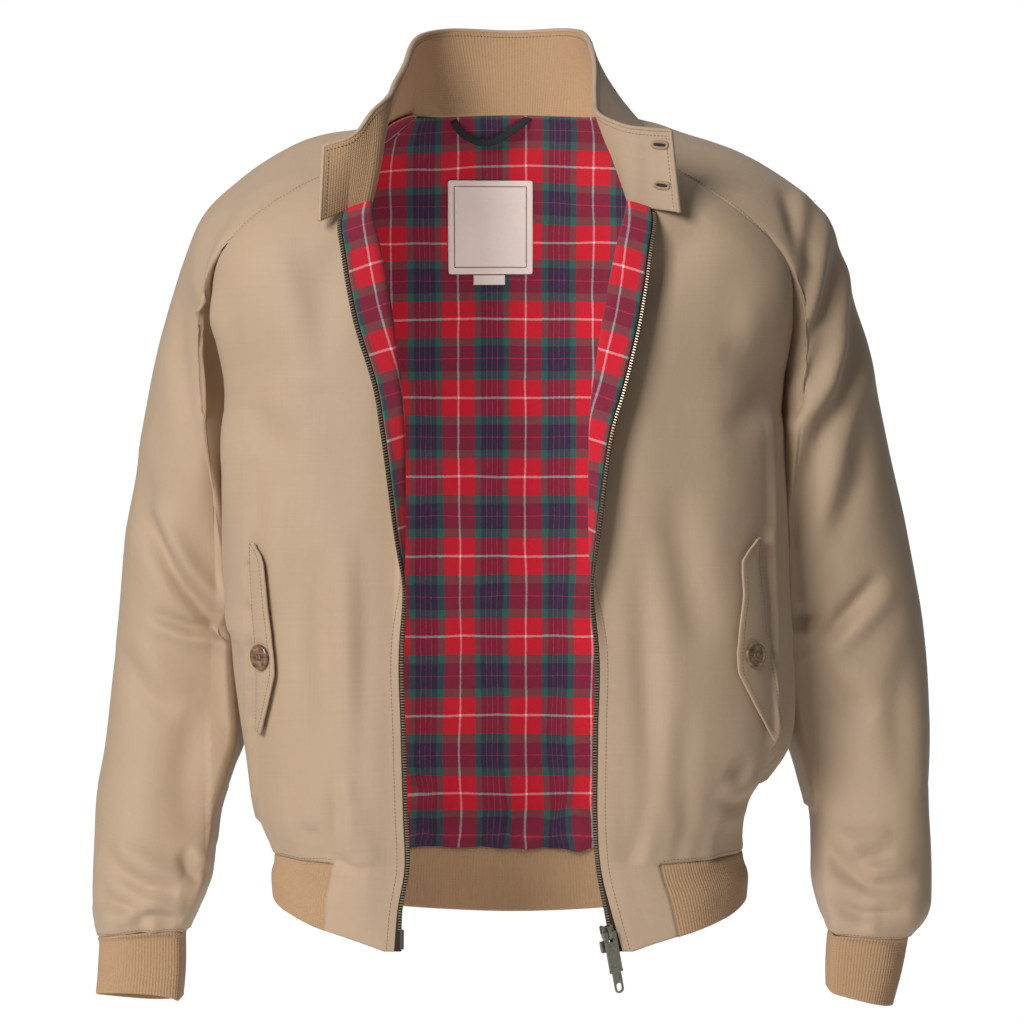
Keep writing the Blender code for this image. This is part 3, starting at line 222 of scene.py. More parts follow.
def turnedPoint(side, row, length):
    # the point that far past the fold, measured round the roll and over the zip's edge
    sign = sides[side]
    along = np.array([-sign, 0.03])
    along /= np.linalg.norm(along)
    forward = np.array([along[1], -along[0]]) * (1 if sign < 0 else -1)
    radius = cloth["rollRadius"]
    roll = math.radians(max(row["roll"], 0))
    angle = min(length / radius, roll)
    past = max(0.0, length - radius * roll)
    x, y = (np.array([sign * row["foldX"], row["foldY"]])
            + radius * (math.sin(angle) * along + (1 - math.cos(angle)) * forward)
            + past * (math.cos(roll) * along + math.sin(roll) * forward))
    return x, y, row["foldZ"] - 0.35 * length * row["roll"] / 165


def frontRowAt(side, level):
    return dict(zip(frontNames, smoothRows(frontTable[side], [level])[0]))


def frontPanel(side, levels, cols):
    # columns run from the side seam to the zip's edge
    sign = sides[side]
    places = columnPlaces[side]
    last = len(places) - 1
    rows = []
    for level in levels:
        row = frontRowAt(side, level)
        start = np.array([sign * row["outX"], row["outY"]])
        end = np.array([sign * row["foldX"], row["foldY"]])
        corner = np.array([sign * cornerX(row), row["foldY"] - 0.004])
        points = []
        for col in cols:
            if col <= last:
                place = float(np.interp(col, range(last + 1), places))
                x, y = conic(start, corner, end, cloth["fullness"], place)
                points.append((x, y, row["outZ"] + (row["foldZ"] - row["outZ"]) * place**1.6))
            else:
                points.append(turnedPoint(side, row, row["turn"] * (col - last) / 3))
        rows.append(points)
    return np.array(rows)


def backPanel(levels, cols, fronts):
    # columns run from the left seam to the right one, 0 to 12
    places = np.interp(np.abs(cols - 6), range(7), (0, 0.16, 0.32, 0.50, 0.68, 0.84, 1.0))
    coarse = []
    for level in range(neck + 1):
        y, z = backCentre[level]
        row = []
        for col, place in zip(cols, places):
            side = "left" if col <= 6 else "right"
            sign = sides[side]
            if level <= armpit:
                table = frontRowAt(side, level)
                seamX, seamY, seamZ = table["outX"], table["outY"], table["outZ"]
                swing = (y - seamY) / (seamY - table["foldY"])
                corner = seamX - (cornerX(table) - seamX) * swing
            else:
                seamX, seamY, seamZ = backSeam[level - armpit - 1]
                corner = 0.72 * seamX
            x, yy = conic(np.array([0.0, y]), np.array([sign * corner, y + 0.002]),
                          np.array([sign * seamX, seamY]), cloth["backFullness"], place)
            row.append((x, yy, z + (seamZ - z) * place**1.6))
        coarse.append(row)
    panel = smoothRows(np.array(coarse), levels)
    low = levels <= armpit
    for side, edge, away in (("left", 0, 12 - cols), ("right", -1, cols)):
        miss = fronts[side][low, 0] - panel[low, edge]
        share = np.clip((away - 9) / 3, 0, 1) ** 2
        panel[low] += miss[:, None] * share[None, :, None]
    return panel


def neckArc(side, steps):
    # the top of the sleeve between the two raglan seams: 0 in front, 1 on top, 2 behind
    sign = sides[side]
    front = [frontTable[side][k][:3] for k in (12, 13)]
    top = (sleeveTable[side][0][0], 0.006, sleeveTable[side][0][1])
    line = np.array([*front, top, backSeam[5], backSeam[4]], float) * (sign, 1, 1)
    return smoothRows(line, 1 + np.asarray(steps, float))


def ringAt(side, row, steps):
    # one round of a sleeve at steps counted in fourteenths, from the top of the arm
    station = dict(zip(sleeveNames, row))
    over = np.array([sides[side] * station["overX"], station["overZ"]])
    under = np.array([sides[side] * station["underX"], station["underZ"]])
    turn = 2 * np.pi * np.asarray(steps) / 14
    xz = (over + under) / 2 + (over - under) / 2 * np.cos(turn)[:, None]
    depth = np.where(np.sin(turn) > 0, station["front"], station["back"])
    narrow = 1 - underarmNarrow * (1 - np.cos(turn)) / 2 * (np.sin(turn) < 0)
    # the front hangs flat as far as the side against the body, so that corner is squarer
    power = 1 - flatSide * (1 - np.cos(turn)) / 2
    deepness = np.sign(np.sin(turn)) * np.abs(np.sin(turn)) ** power
    y = station["y"] - depth * narrow * deepness
    return np.stack([xz[:, 0], y, xz[:, 1] + station["tilt"] * np.sin(turn)], axis=1)


def sleevePanel(side, places, steps, loop):
    table = np.array(sleeveTable[side], float)
    offRound = loop - ringAt(side, table[0], steps)
    rows = []
    for row in smoothRows(table, places):
        share = max(0.0, row[sleeveNames.index("seamShare")])
        rows.append(ringAt(side, row, steps) + share * offRound)
    return np.array(rows)


def cuffPanel(side, places, steps):
    table = np.array([sleeveTable[side][-1], *cuffTable[side]], float)
    return np.array([ringAt(side, row, steps) for row in smoothRows(table, places)])


# fine rows and columns: steps for each interval of the tables, closer beside the seams

levelCounts = (5, 6, 8, 11, 17, 17, 17, 9, 10, 9, 7, 7, 8)
levels = finePlaces(levelCounts, (0.06, 2.06, 1.94, 12.9, 12.97))
frontCols = {"right": finePlaces((10, 9, 9, 9, 9, 9, 7, 7, 6), (0.02, 0.05)),
             "left": finePlaces((10, 8, 8, 8, 8, 7, 7, 7, 7, 6), (0.02, 0.05))}
backCols = finePlaces((8,) * 12, (0.03, 11.97))
sleevePlaces = finePlaces((14, 10, 8, 9, 12, 13, 15, 14, 13, 12, 10, 10, 8, 7),
                          (0.015, 0.04, 13.9, 13.97))
high = levels[levels >= armpit]

fronts = {side: frontPanel(side, levels, frontCols[side]) for side in sides}
backPoints = backPanel(levels, backCols, fronts)


def seamLoop(side):
    front = fronts[side][levels >= armpit, 0][::-1]
    edge = 0 if side == "left" else -1
    behind = backPoints[levels >= armpit, edge]
    topSteps = np.arange(1, 6) / 6
    steps = np.concatenate([[0], topSteps, 14 - high[::-1], high[1:], 13 + topSteps])
    loop = np.concatenate([neckArc(side, [1]), neckArc(side, 1 - topSteps), front, behind[1:],
                           neckArc(side, 2 - topSteps)])
    return steps, loop


sleeves, cuffs = {}, {}
for side in sides:
    steps, loop = seamLoop(side)
    sleeves[side] = sleevePanel(side, sleevePlaces, steps, loop)
    cuffs[side] = cuffPanel(side, finePlaces((5, 9, 9)), np.linspace(0, 14, 85)[:-1])


def collarFoot():
    # the neckline with its marks: tab end, right front, shoulder, back, shoulder, left front, tab
    marks, line = [], []

    def add(places, points):
        marks.extend(places)
        line.extend(points)

    edge = fronts["right"][-1][::-1]
    start = np.array(tabEnd["right"])
    for t in np.arange(0, 1, 0.125):
        add([t], [start + (edge[0] - start) * t])
    add(1 + 9 - frontCols["right"][::-1], edge)
    inner = np.arange(1, 12) / 6
    add(10 + inner, neckArc("right", inner))
    add(12 + 12 - backCols[::-1], backPoints[-1][::-1])
    add(24 + inner, neckArc("left", 2 - inner))
    add(26 + frontCols["left"], fronts["left"][-1])
    end = np.array(tabEnd["left"])
    for t in np.arange(0.125, 1.01, 0.125):
        add([36 + t], [fronts["left"][-1][-1] * (1 - t) + end * t])
    return np.array(marks), np.array(line)


footMarks, footLine = collarFoot()
collarPlaces = np.array([0, 0.02, 0.06, *np.linspace(0.12, 0.94, 14), 0.98, 1.0])


def collarPanel():
    rows = np.array(collarTable)
    stations = np.interp(footMarks, rows[:, 0], range(len(rows)))
    shape = smoothRows(rows[:, 1:], stations)
    top, belly = shape[:, :3], np.concatenate([shape[:, 3:], np.zeros((len(shape), 1))], axis=1)
    t = collarPlaces[None, :, None]
    return (footLine[:, None] + (top - footLine)[:, None] * t
            + 4 * t * (1 - t) * belly[:, None])


collar = collarPanel()
print("panels laid out")

# folds: where the cloth creases. Each is how wide and deep it is (a negative one is a ridge),
# how much of a ridge stands beside it, and its line in x and z

folds = {
    "front": (
        (0.014, 0.0030, 0.5, ((-0.152, -0.350), (-0.150, -0.440), (-0.138, -0.540))),
        (0.010, 0.0022, -0.6, ((-0.118, -0.330), (-0.116, -0.430), (-0.120, -0.560))),
        (0.012, -0.0022, 0.0, ((-0.187, -0.300), (-0.186, -0.400))),
        (0.006, 0.0022, 0.6, ((-0.141, -0.530), (-0.138, -0.560), (-0.139, -0.592))),
        (0.005, 0.0020, 0.5, ((-0.172, -0.571), (-0.160, -0.577), (-0.146, -0.574))),
        (0.005, 0.0018, -0.5, ((-0.142, -0.596), (-0.126, -0.604))),
        (0.020, 0.0020, 0.4, ((-0.128, -0.095), (-0.150, -0.150), (-0.158, -0.215))),
        (0.014, -0.0016, 0.0, ((-0.190, -0.100), (-0.170, -0.160), (-0.160, -0.230))),
        (0.016, 0.0024, 0.4, ((-0.215, -0.235), (-0.190, -0.262), (-0.168, -0.270))),
        (0.016, 0.0022, -0.5, ((0.152, -0.085), (0.124, -0.115), (0.102, -0.160))),
        (0.016, 0.0012, 0.5, ((0.186, -0.120), (0.172, -0.160), (0.176, -0.205))),
        (0.012, 0.0020, 0.5, ((0.218, -0.215), (0.198, -0.235), (0.172, -0.262))),
        (0.013, 0.0014, -0.5, ((0.212, -0.190), (0.190, -0.200), (0.166, -0.190))),
        (0.014, 0.0026, 0.5, ((0.128, -0.300), (0.138, -0.380), (0.150, -0.430))),
        (0.012, 0.0026, 0.5, ((0.102, -0.340), (0.106, -0.450), (0.116, -0.585))),
        (0.010, 0.0020, -0.5, ((0.136, -0.470), (0.134, -0.540), (0.142, -0.590))),
        (0.006, 0.0016, 0.6, ((0.192, -0.548), (0.178, -0.556), (0.160, -0.552))),
        (0.007, 0.0028, 0.6, ((0.190, -0.520), (0.178, -0.530), (0.168, -0.528))),
        # right sleeve
        (0.010, 0.0030, 0.6, ((-0.280, -0.120), (-0.276, -0.190), (-0.258, -0.290))),
        (0.009, 0.0030, 0.6, ((-0.266, -0.130), (-0.258, -0.200), (-0.236, -0.300))),
        (0.008, 0.0036, 0.6, ((-0.262, -0.140), (-0.247, -0.185), (-0.240, -0.230))),
        (0.009, 0.0032, 0.6, ((-0.252, -0.250), (-0.242, -0.300), (-0.236, -0.350))),
        (0.012, 0.0030, -0.5, ((-0.312, -0.270), (-0.303, -0.320), (-0.284, -0.370))),
        (0.008, 0.0056, 0.8, ((-0.312, -0.316), (-0.287, -0.356), (-0.272, -0.379),
                              (-0.253, -0.401), (-0.230, -0.425), (-0.212, -0.440))),
        (0.005, 0.0040, -0.7, ((-0.300, -0.404), (-0.263, -0.416), (-0.244, -0.418),
                               (-0.220, -0.428))),
        (0.011, 0.0030, 0.5, ((-0.328, -0.430), (-0.300, -0.470), (-0.272, -0.486))),
        (0.014, 0.0026, 0.5, ((-0.262, -0.480), (-0.268, -0.540), (-0.262, -0.590))),
        (0.008, 0.0044, 0.7, ((-0.338, -0.596), (-0.322, -0.612), (-0.297, -0.624),
                              (-0.270, -0.629))),
        (0.006, 0.0034, 0.7, ((-0.270, -0.598), (-0.262, -0.612), (-0.250, -0.621))),
        (0.007, 0.0034, -0.6, ((-0.344, -0.632), (-0.326, -0.640), (-0.300, -0.645))),
        (0.006, 0.0030, 0.6, ((-0.312, -0.655), (-0.290, -0.650), (-0.268, -0.655))),
        # left sleeve
        (0.007, 0.0036, 0.6, ((0.222, -0.055), (0.228, -0.080), (0.230, -0.115))),
        (0.008, 0.0048, 0.7, ((0.244, -0.065), (0.242, -0.120), (0.228, -0.190))),
        (0.009, 0.0050, 0.7, ((0.268, -0.095), (0.255, -0.160), (0.222, -0.222))),
        (0.008, 0.0054, 0.7, ((0.264, -0.165), (0.246, -0.212), (0.220, -0.250))),
        (0.010, 0.0040, 0.5, ((0.288, -0.120), (0.284, -0.190), (0.262, -0.260))),
        (0.011, 0.0040, 0.5, ((0.262, -0.230), (0.244, -0.290), (0.232, -0.350))),
        (0.012, 0.0030, -0.5, ((0.296, -0.210), (0.284, -0.290), (0.262, -0.350))),
        (0.008, 0.0046, 0.7, ((0.306, -0.372), (0.280, -0.400), (0.246, -0.432))),
        (0.007, 0.0034, -0.6, ((0.226, -0.404), (0.240, -0.408), (0.262, -0.406))),
        (0.012, 0.0030, 0.5, ((0.244, -0.440), (0.266, -0.474), (0.300, -0.486))),
        (0.013, 0.0026, 0.5, ((0.330, -0.420), (0.318, -0.480), (0.322, -0.550))),
        (0.008, 0.0042, 0.7, ((0.250, -0.594), (0.277, -0.606), (0.312, -0.598))),
        (0.007, 0.0042, 0.7, ((0.258, -0.606), (0.293, -0.624), (0.330, -0.622))),
        (0.006, 0.0030, -0.6, ((0.256, -0.640), (0.284, -0.650), (0.322, -0.648))),
    ),
    "back": (
        (0.016, 0.0030, 0.5, ((-0.060, -0.300), (-0.066, -0.400), (-0.056, -0.520))),
        (0.014, 0.0028, -0.5, ((0.050, -0.330), (0.058, -0.430), (0.046, -0.560))),
        (0.014, 0.0026, 0.5, ((0.128, -0.280), (0.122, -0.380), (0.132, -0.480))),
        (0.013, 0.0026, 0.5, ((-0.140, -0.330), (-0.130, -0.430), (-0.138, -0.540))),
        (0.016, 0.0034, 0.5, ((0.200, -0.190), (0.160, -0.240), (0.118, -0.262))),
        (0.016, 0.0034, -0.5, ((-0.204, -0.190), (-0.166, -0.236), (-0.120, -0.256))),
        (0.013, 0.0026, 0.5, ((0.208, -0.240), (0.184, -0.290), (0.168, -0.350))),
        (0.013, 0.0026, 0.5, ((-0.208, -0.240), (-0.186, -0.284), (-0.172, -0.340))),
        (0.018, 0.0026, 0.3, ((-0.080, -0.062), (-0.010, -0.080), (0.070, -0.060))),
        (0.008, 0.0026, 0.6, ((-0.110, -0.548), (-0.092, -0.562), (-0.070, -0.560))),
        (0.008, 0.0026, 0.6, ((0.084, -0.556), (0.106, -0.566), (0.130, -0.556))),
        (0.010, 0.0038, 0.6, ((0.250, -0.100), (0.244, -0.160), (0.222, -0.220))),
        (0.010, 0.0036, 0.6, ((-0.256, -0.110), (-0.248, -0.170), (-0.226, -0.230))),
        (0.010, 0.0034, 0.6, ((0.280, -0.140), (0.268, -0.210), (0.240, -0.280))),
        (0.010, 0.0034, 0.6, ((-0.286, -0.150), (-0.272, -0.220), (-0.244, -0.290))),
        (0.010, 0.0036, 0.6, ((0.322, -0.372), (0.290, -0.388), (0.250, -0.372))),
        (0.010, 0.0036, 0.6, ((-0.316, -0.378), (-0.286, -0.392), (-0.246, -0.380))),
        (0.010, 0.0032, -0.6, ((0.330, -0.420), (0.300, -0.436), (0.260, -0.430))),
        (0.010, 0.0032, -0.6, ((-0.324, -0.424), (-0.292, -0.440), (-0.256, -0.436))),
        (0.014, 0.0026, 0.5, ((0.300, -0.470), (0.292, -0.530), (0.300, -0.585))),
        (0.014, 0.0026, 0.5, ((-0.296, -0.470), (-0.290, -0.530), (-0.300, -0.590))),
        (0.008, 0.0040, 0.7, ((0.256, -0.604), (0.296, -0.618), (0.336, -0.606))),
        (0.008, 0.0040, 0.7, ((-0.258, -0.602), (-0.296, -0.620), (-0.338, -0.612))),
        (0.006, 0.0030, 0.6, ((0.262, -0.640), (0.290, -0.646), (0.320, -0.640))),
        (0.006, 0.0030, 0.6, ((-0.268, -0.642), (-0.296, -0.650), (-0.328, -0.644))),
    ),
}
drape = {"foldScale": 1.9, "broad": 0.0075, "broadWide": 8.5, "broadTall": 3.0, "small": 0.0022,
         "smallScale": 24,
         "pucker": 0.00045, "puckerScale": 150, "puckerReach": 0.010,
         "meet": 0.0055, "gather": 0.0052, "gatherReach": 0.050, "groove": 0.0015, "grooveWide": 0.0014,
         "shoulder": 0.0004, "shoulderAt": 0.005, "edgeFree": 0.030}


def lineDistance(x, z, line):
    # signed distance to a line of points, and how far along it
    best = np.full(len(x), 1e9)
    signed, along = np.zeros(len(x)), np.zeros(len(x))
    line = np.array(line)
    lengths = np.linalg.norm(np.diff(line, axis=0), axis=1)
    total = lengths.sum()
    done = 0.0
    for (ax, az), (bx, bz), length in zip(line, line[1:], lengths):
        t = np.clip(((x - ax) * (bx - ax) + (z - az) * (bz - az)) / length**2, 0, 1)
        dx, dz = x - ax - t * (bx - ax), z - az - t * (bz - az)
        size = np.hypot(dx, dz)
        nearer = size < best
        side = np.sign((bx - ax) * dz - (bz - az) * dx)
        best = np.where(nearer, size, best)
        signed = np.where(nearer, size * side, signed)
        along = np.where(nearer, (done + t * length) / total, along)
        done += length
    return signed, along


def foldDepth(points, normals):
    # how far the folds push each point inwards
    x, z = points[:, 0], points[:, 2]
    depth = np.zeros(len(points))
    for face, sign in (("front", -1.0), ("back", 1.0)):
        facing = smoothStep(-0.15, 0.55, normals[:, 1] * sign)
        for wide, deep, ridge, line in folds[face]:
            inSleeve = abs(line[-1][0]) > 0.2185 and abs(line[0][0]) > 0.2185
            near = (np.abs(x - line[len(line) // 2][0]) < 0.12) & (facing > 0)
            picked = np.nonzero(near)[0]
            if inSleeve:
                picked = picked[np.abs(x[picked]) > 0.205]
            if not len(picked):
                continue
            s, along = lineDistance(x[picked], z[picked], line)
            taper = np.sin(np.pi * np.clip(along, 0, 1)) ** 0.7
            shape = np.exp(-(s / wide) ** 2)
            side = 1.0 if ridge >= 0 else -1.0
            shape -= abs(ridge) * np.exp(-((s - side * 1.7 * wide) / (1.25 * wide)) ** 2)
            depth[picked] += drape["foldScale"] * deep * shape * taper * facing[picked]
    return depth


def treeOf(points):
    tree = kdtree.KDTree(len(points))
    for k, point in enumerate(points):
        tree.insert(point, k)
    tree.balance()
    return tree


seamPoints = [fronts[s][levels >= ribSeam, 0] for s in sides]
seamPoints += [backPoints[levels >= armpit, k] for k in (0, -1)]
seamPoints += [backPoints[list(levels).index(ribSeam)]]
seamPoints += [fronts[s][list(levels).index(ribSeam)][frontCols[s] <= ribColumn[s]] for s in sides]
seamPoints += [sleeves[s][-1] for s in sides]
seamTree = treeOf(np.concatenate(seamPoints))
footTree = treeOf(footLine)
armTree = treeOf(np.concatenate([sleeves[side][0] for side in sides]))


def clothDepth(points, normals):
    # all that moves the cloth inwards: folds, slow unevenness, gathers, and the seams' own puckers
    depth = foldDepth(points, normals)
    extra = np.zeros(len(points))
    for k, (p, n) in enumerate(zip(points, normals)):
        x, y, z = p
        toSeam = seamTree.find(p)[2]
        free = min(1.0, toSeam / 0.03)
        value = drape["broad"] * noise.noise((x * drape["broadWide"] + 3, y * drape["broadWide"],
                                              z * drape["broadTall"])) * (0.35 + 0.65 * free)
        value += drape["small"] * noise.noise((x * drape["smallScale"], y * drape["smallScale"],
                                               z * drape["smallScale"] * 0.5 + 9)) * free
        reach = math.exp(-(toSeam / drape["puckerReach"]) ** 2)
        value += drape["pucker"] * reach * noise.noise(p * drape["puckerScale"])
        toArm = armTree.find(p)[2]
        depth[k] *= 0.15 + 0.85 * min(1.0, max(0.0, (toArm - 0.003) / 0.024))
        beside = abs(x) - 0.2285
        if abs(beside) < 0.022 and -0.60 < z < -0.24 and abs(n[0]) > 0.25:
            swell = math.sin(math.pi * (z + 0.60) / 0.36) ** 0.5
            value -= drape["meet"] * swell * min(1.0, (abs(n[0]) - 0.25) / 0.3)
        value += drape["groove"] * math.exp(-(toSeam / drape["grooveWide"]) ** 2)
        value -= drape["shoulder"] * math.exp(-((toSeam - drape["shoulderAt"]) / 0.003) ** 2)
        if abs(x) > 0.2405 and z < -0.55:
            rise, turn, reachUp = z + 0.668, math.atan2(y + 0.012, abs(x) - 0.305) * 0.05, 0.030
            if x > 0:
                turn += 3.0
        else:
            rise, turn, reachUp = z + 0.603, math.atan2(y, x) * 0.17, drape["gatherReach"]
        if rise > 0 and rise < 0.2:
            fade = math.exp(-rise / reachUp) * min(1.0, rise / 0.006)
            pleat = noise.noise((turn * 34, rise * 6, 4)) + 0.6 * noise.noise((turn * 80, rise * 9, 1))
            value += drape["gather"] * fade * pleat
        extra[k] = value
    keep = np.array([min(1.0, footTree.find(p)[2] / drape["edgeFree"]) for p in points])
    return (depth + extra) * keep * keep * (3 - 2 * keep)


# outward directions, shared where panels meet


def rawNormals(points, closed=False):
    rows = roundRows(points, closed)
    a, b, c, d = rows[:-1, :-1], rows[:-1, 1:], rows[1:, 1:], rows[1:, :-1]
    face = np.cross(c - a, d - b)
    total = np.zeros(rows.shape)
    total[:-1, :-1] += face
    total[:-1, 1:] += face
    total[1:, 1:] += face
    total[1:, :-1] += face
    if closed:
        total[:, 0] += total[:, -1]
        total = total[:, :-1]
    return total


def outwardOf(panels):
    # panels: name to (points, closed); the result is each one's unit normals
    raw = {name: rawNormals(points, closed) for name, (points, closed) in panels.items()}
    pool = {}
    for name, (points, closed) in panels.items():
        keys = np.round(points, 5)
        edge = np.zeros(points.shape[:2], bool)
        edge[0] = edge[-1] = True
        if not closed:
            edge[:, 0] = edge[:, -1] = True
        for i, j in zip(*np.nonzero(edge)):
            key = tuple(keys[i, j])
            pool[key] = pool.get(key, 0) + raw[name][i, j]
    for name, (points, closed) in panels.items():
        keys = np.round(points, 5)
        for i in range(points.shape[0]):
            inside = 0 < i < points.shape[0] - 1
            for j in ((0, points.shape[1] - 1) if inside and not closed else
                      range(points.shape[1]) if not inside else ()):
                raw[name][i, j] = pool[tuple(keys[i, j])]
    return {name: unit(value) for name, value in raw.items()}


def oriented(side, panel):
    # right panels keep their column order, left ones turn round, so that both face outwards
    return panel if side == "right" else panel[:, ::-1]


panels = {f"front_{s}": (oriented(s, fronts[s]), False) for s in sides}
panels["back"] = (backPoints, False)
for s in sides:
    panels[f"sleeve_{s}"] = (sleeves[s] if s == "left" else sleeves[s][:, ::-1], True)
flat = outwardOf({**panels, "collar": (collar, False)})


def edgeShare(name, points):
    # 0 along the zip's edge and the roll, 1 away from them
    if not name.startswith("front"):
        return np.ones(points.shape[:2])
    side = name[6:]
    cols = frontCols[side] if side == "right" else frontCols[side][::-1]
    last = len(columnPlaces[side]) - 1
    return np.repeat(smoothStep(0.0, 0.9, last - cols)[None], len(points), axis=0)


shaped = {}
for name, (points, closed) in panels.items():
    depth = clothDepth(points.reshape(-1, 3), flat[name].reshape(-1, 3)).reshape(points.shape[:2])
    depth *= edgeShare(name, points)
    shaped[name] = (points - flat[name] * depth[..., None], closed)
shaped["collar"] = (collar, False)
outward = outwardOf(shaped)
print("folds laid")

# making cloth meshes


def newObject(name, mesh, look):
    made = bpy.data.objects.new(name, mesh)
    made.data.materials.clear()
    made.data.materials.append(look)
    bpy.context.scene.collection.objects.link(made)
    return made


def finished(name, maker, look, smooth=True, sharp=None):
    mesh = bpy.data.meshes.new(name)
    maker.to_mesh(mesh)
    maker.free()
    if smooth:
        mesh.shade_smooth()
    if sharp:
        mesh.set_sharp_from_angle(angle=math.radians(sharp))
    return newObject(name, mesh, look)


def clothMesh(name, points, uv, thick, look, closed=False, cells=None, soften=0,
              weld=False):
    # a grid shaped to the points, with its wall grown inwards
    rows, cols = points.shape[:2]
    span = cols if closed else cols - 1
    maker = bmesh.new()
    bmesh.ops.create_grid(maker, x_segments=span, y_segments=rows - 1, size=1)
    maker.verts.ensure_lookup_table()
    layer = maker.loops.layers.uv.new("UVMap")
    for face in maker.faces:
        for loop in face.loops:
            i, j = divmod(loop.vert.index, span + 1)
            loop[layer].uv = uv[i, j]
    gone = []
    if cells is not None:
        gone = [face for face in maker.faces
                if not cells[divmod(min(v.index for v in face.verts), span + 1)]]
    for vert in maker.verts:
        i, j = divmod(vert.index, span + 1)
        vert.co = points[i, j % cols]
    if gone:
        bmesh.ops.delete(maker, geom=gone, context="FACES")
    if closed or weld:
        bmesh.ops.remove_doubles(maker, verts=maker.verts, dist=1e-6)
    if weld:
        bmesh.ops.recalc_face_normals(maker, faces=maker.faces)
    made = finished(name, maker, look)
    if thick:
        wall = made.modifiers.new("wall", "SOLIDIFY")
        wall.thickness = thick
        wall.offset = -1
        wall.use_quality_normals = True
    if soften:
        finer = made.modifiers.new("soften", "SUBSURF")
        finer.levels = finer.render_levels = soften
    return made


def doubleCloth(name, outer, inside, uv, look, closed=False):
    # a knit's outer and inner faces, closed round its rims
    rim = 0.35 * (outer[:1] - outer[1:2]) / np.maximum(
        np.linalg.norm(outer[:1] - outer[1:2], axis=2, keepdims=True), 1e-9) * 0.002
    head = 0.35 * (outer[-1:] - outer[-2:-1]) / np.maximum(
        np.linalg.norm(outer[-1:] - outer[-2:-1], axis=2, keepdims=True), 1e-9) * 0.002
    below = (outer[:1] + inside[:1]) / 2 + rim
    above = (outer[-1:] + inside[-1:]) / 2 + head
    wall = np.concatenate([below, outer, above, inside[::-1], below])
    skin = np.concatenate([uv[:1], uv, uv[-1:], uv[::-1], uv[:1]])
    if not closed:
        middle = np.concatenate([below, (outer + inside) / 2, above,
                                 ((outer + inside) / 2)[::-1], below])
        wall = np.concatenate([middle[:, :1], wall, middle[:, -1:]], axis=1)
        skin = np.concatenate([skin[:, :1], skin, skin[:, -1:]], axis=1)
    return clothMesh(name, wall, skin, 0, look, closed=closed, weld=True)


def metresUv(points, closed=False):
    # metres across and along the cloth, averaged so that the grain stays straight
    rows = roundRows(points, closed)
    acrossStep = np.linalg.norm(np.diff(rows, axis=1), axis=2).mean(axis=0)
    alongStep = np.linalg.norm(np.diff(rows, axis=0), axis=2).mean(axis=1)
    u = np.concatenate([[0], np.cumsum(acrossStep)])
    v = np.concatenate([[0], np.cumsum(alongStep)])
    grid = np.zeros((len(v), len(u), 2))
    grid[..., 0], grid[..., 1] = u[None], v[:, None]
    return grid


def rowUv(points, zero):
    # u is measured along each row from column zero, v is the height
    step = np.linalg.norm(np.diff(points, axis=1), axis=2)
    u = np.concatenate([np.zeros((len(points), 1)), np.cumsum(step, axis=1)], axis=1)
    u -= u[:, zero][:, None]
    rise = np.linalg.norm(np.diff(points[:, zero], axis=0), axis=1)
    v = points[0, zero, 2] + np.concatenate([[0], np.cumsum(rise)])
    grid = np.zeros(points.shape[:2] + (2,))
    grid[..., 0], grid[..., 1] = u, v[:, None]
    return grid


def declare(piece, slot, *nodes, body="jacket"):
    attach(piece, body)
    if nodes:
        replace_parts(piece, *nodes)
    return piece


# materials


def newMaterial(name):
    made = bpy.data.materials.new(name)
    made.use_nodes = True
    tree = made.node_tree
    return made, tree, tree.nodes["Principled BSDF"]


def setUp(shader, **values):
    # the surface's own settings: Sheen_Weight stands for the socket Sheen Weight
    for key, value in values.items():
        shader.inputs[key.replace("_", " ")].default_value = value


def node(tree, kind, **values):
    made = tree.nodes.new(kind)
    for key, value in values.items():
        if key in made.inputs:
            made.inputs[key].default_value = value
        else:
            setattr(made, key, value)
    return made


def mixed(tree, first, second, factor, blend="MIX"):
    made = tree.nodes.new("ShaderNodeMix")
    made.data_type = "RGBA"
    made.blend_type = blend
    for socket, value in ((made.inputs[6], first), (made.inputs[7], second),
                          (made.inputs[0], factor)):
        if isinstance(value, bpy.types.NodeSocket):
            tree.links.new(value, socket)
        elif isinstance(value, (int, float)):
            socket.default_value = value
        else:
            socket.default_value = (*value, 1.0)
    return made.outputs[2]


def maths(tree, operation, first, second=0.0, third=None):
    made = tree.nodes.new("ShaderNodeMath")
    made.operation = operation
    for k, value in enumerate((first, second, third)):
        if isinstance(value, bpy.types.NodeSocket):
            tree.links.new(value, made.inputs[k])
        elif value is not None:
            made.inputs[k].default_value = value
    return made.outputs[0]


def mapped(tree, source, scale=(1, 1, 1), turn=0.0, shift=(0, 0, 0)):
    place = tree.nodes.new("ShaderNodeTexCoord")
    mapping = tree.nodes.new("ShaderNodeMapping")
    mapping.inputs["Scale"].default_value = scale
    mapping.inputs["Rotation"].default_value = (0, 0, turn)
    mapping.inputs["Location"].default_value = shift
    tree.links.new(place.outputs[source], mapping.inputs["Vector"])
    return mapping.outputs["Vector"]


def noiseOf(tree, vector, scale, detail=2.0, rough=0.5):
    made = tree.nodes.new("ShaderNodeTexNoise")
    made.inputs["Scale"].default_value = scale
    made.inputs["Detail"].default_value = detail
    made.inputs["Roughness"].default_value = rough
    tree.links.new(vector, made.inputs["Vector"])
    return made.outputs["Fac"]


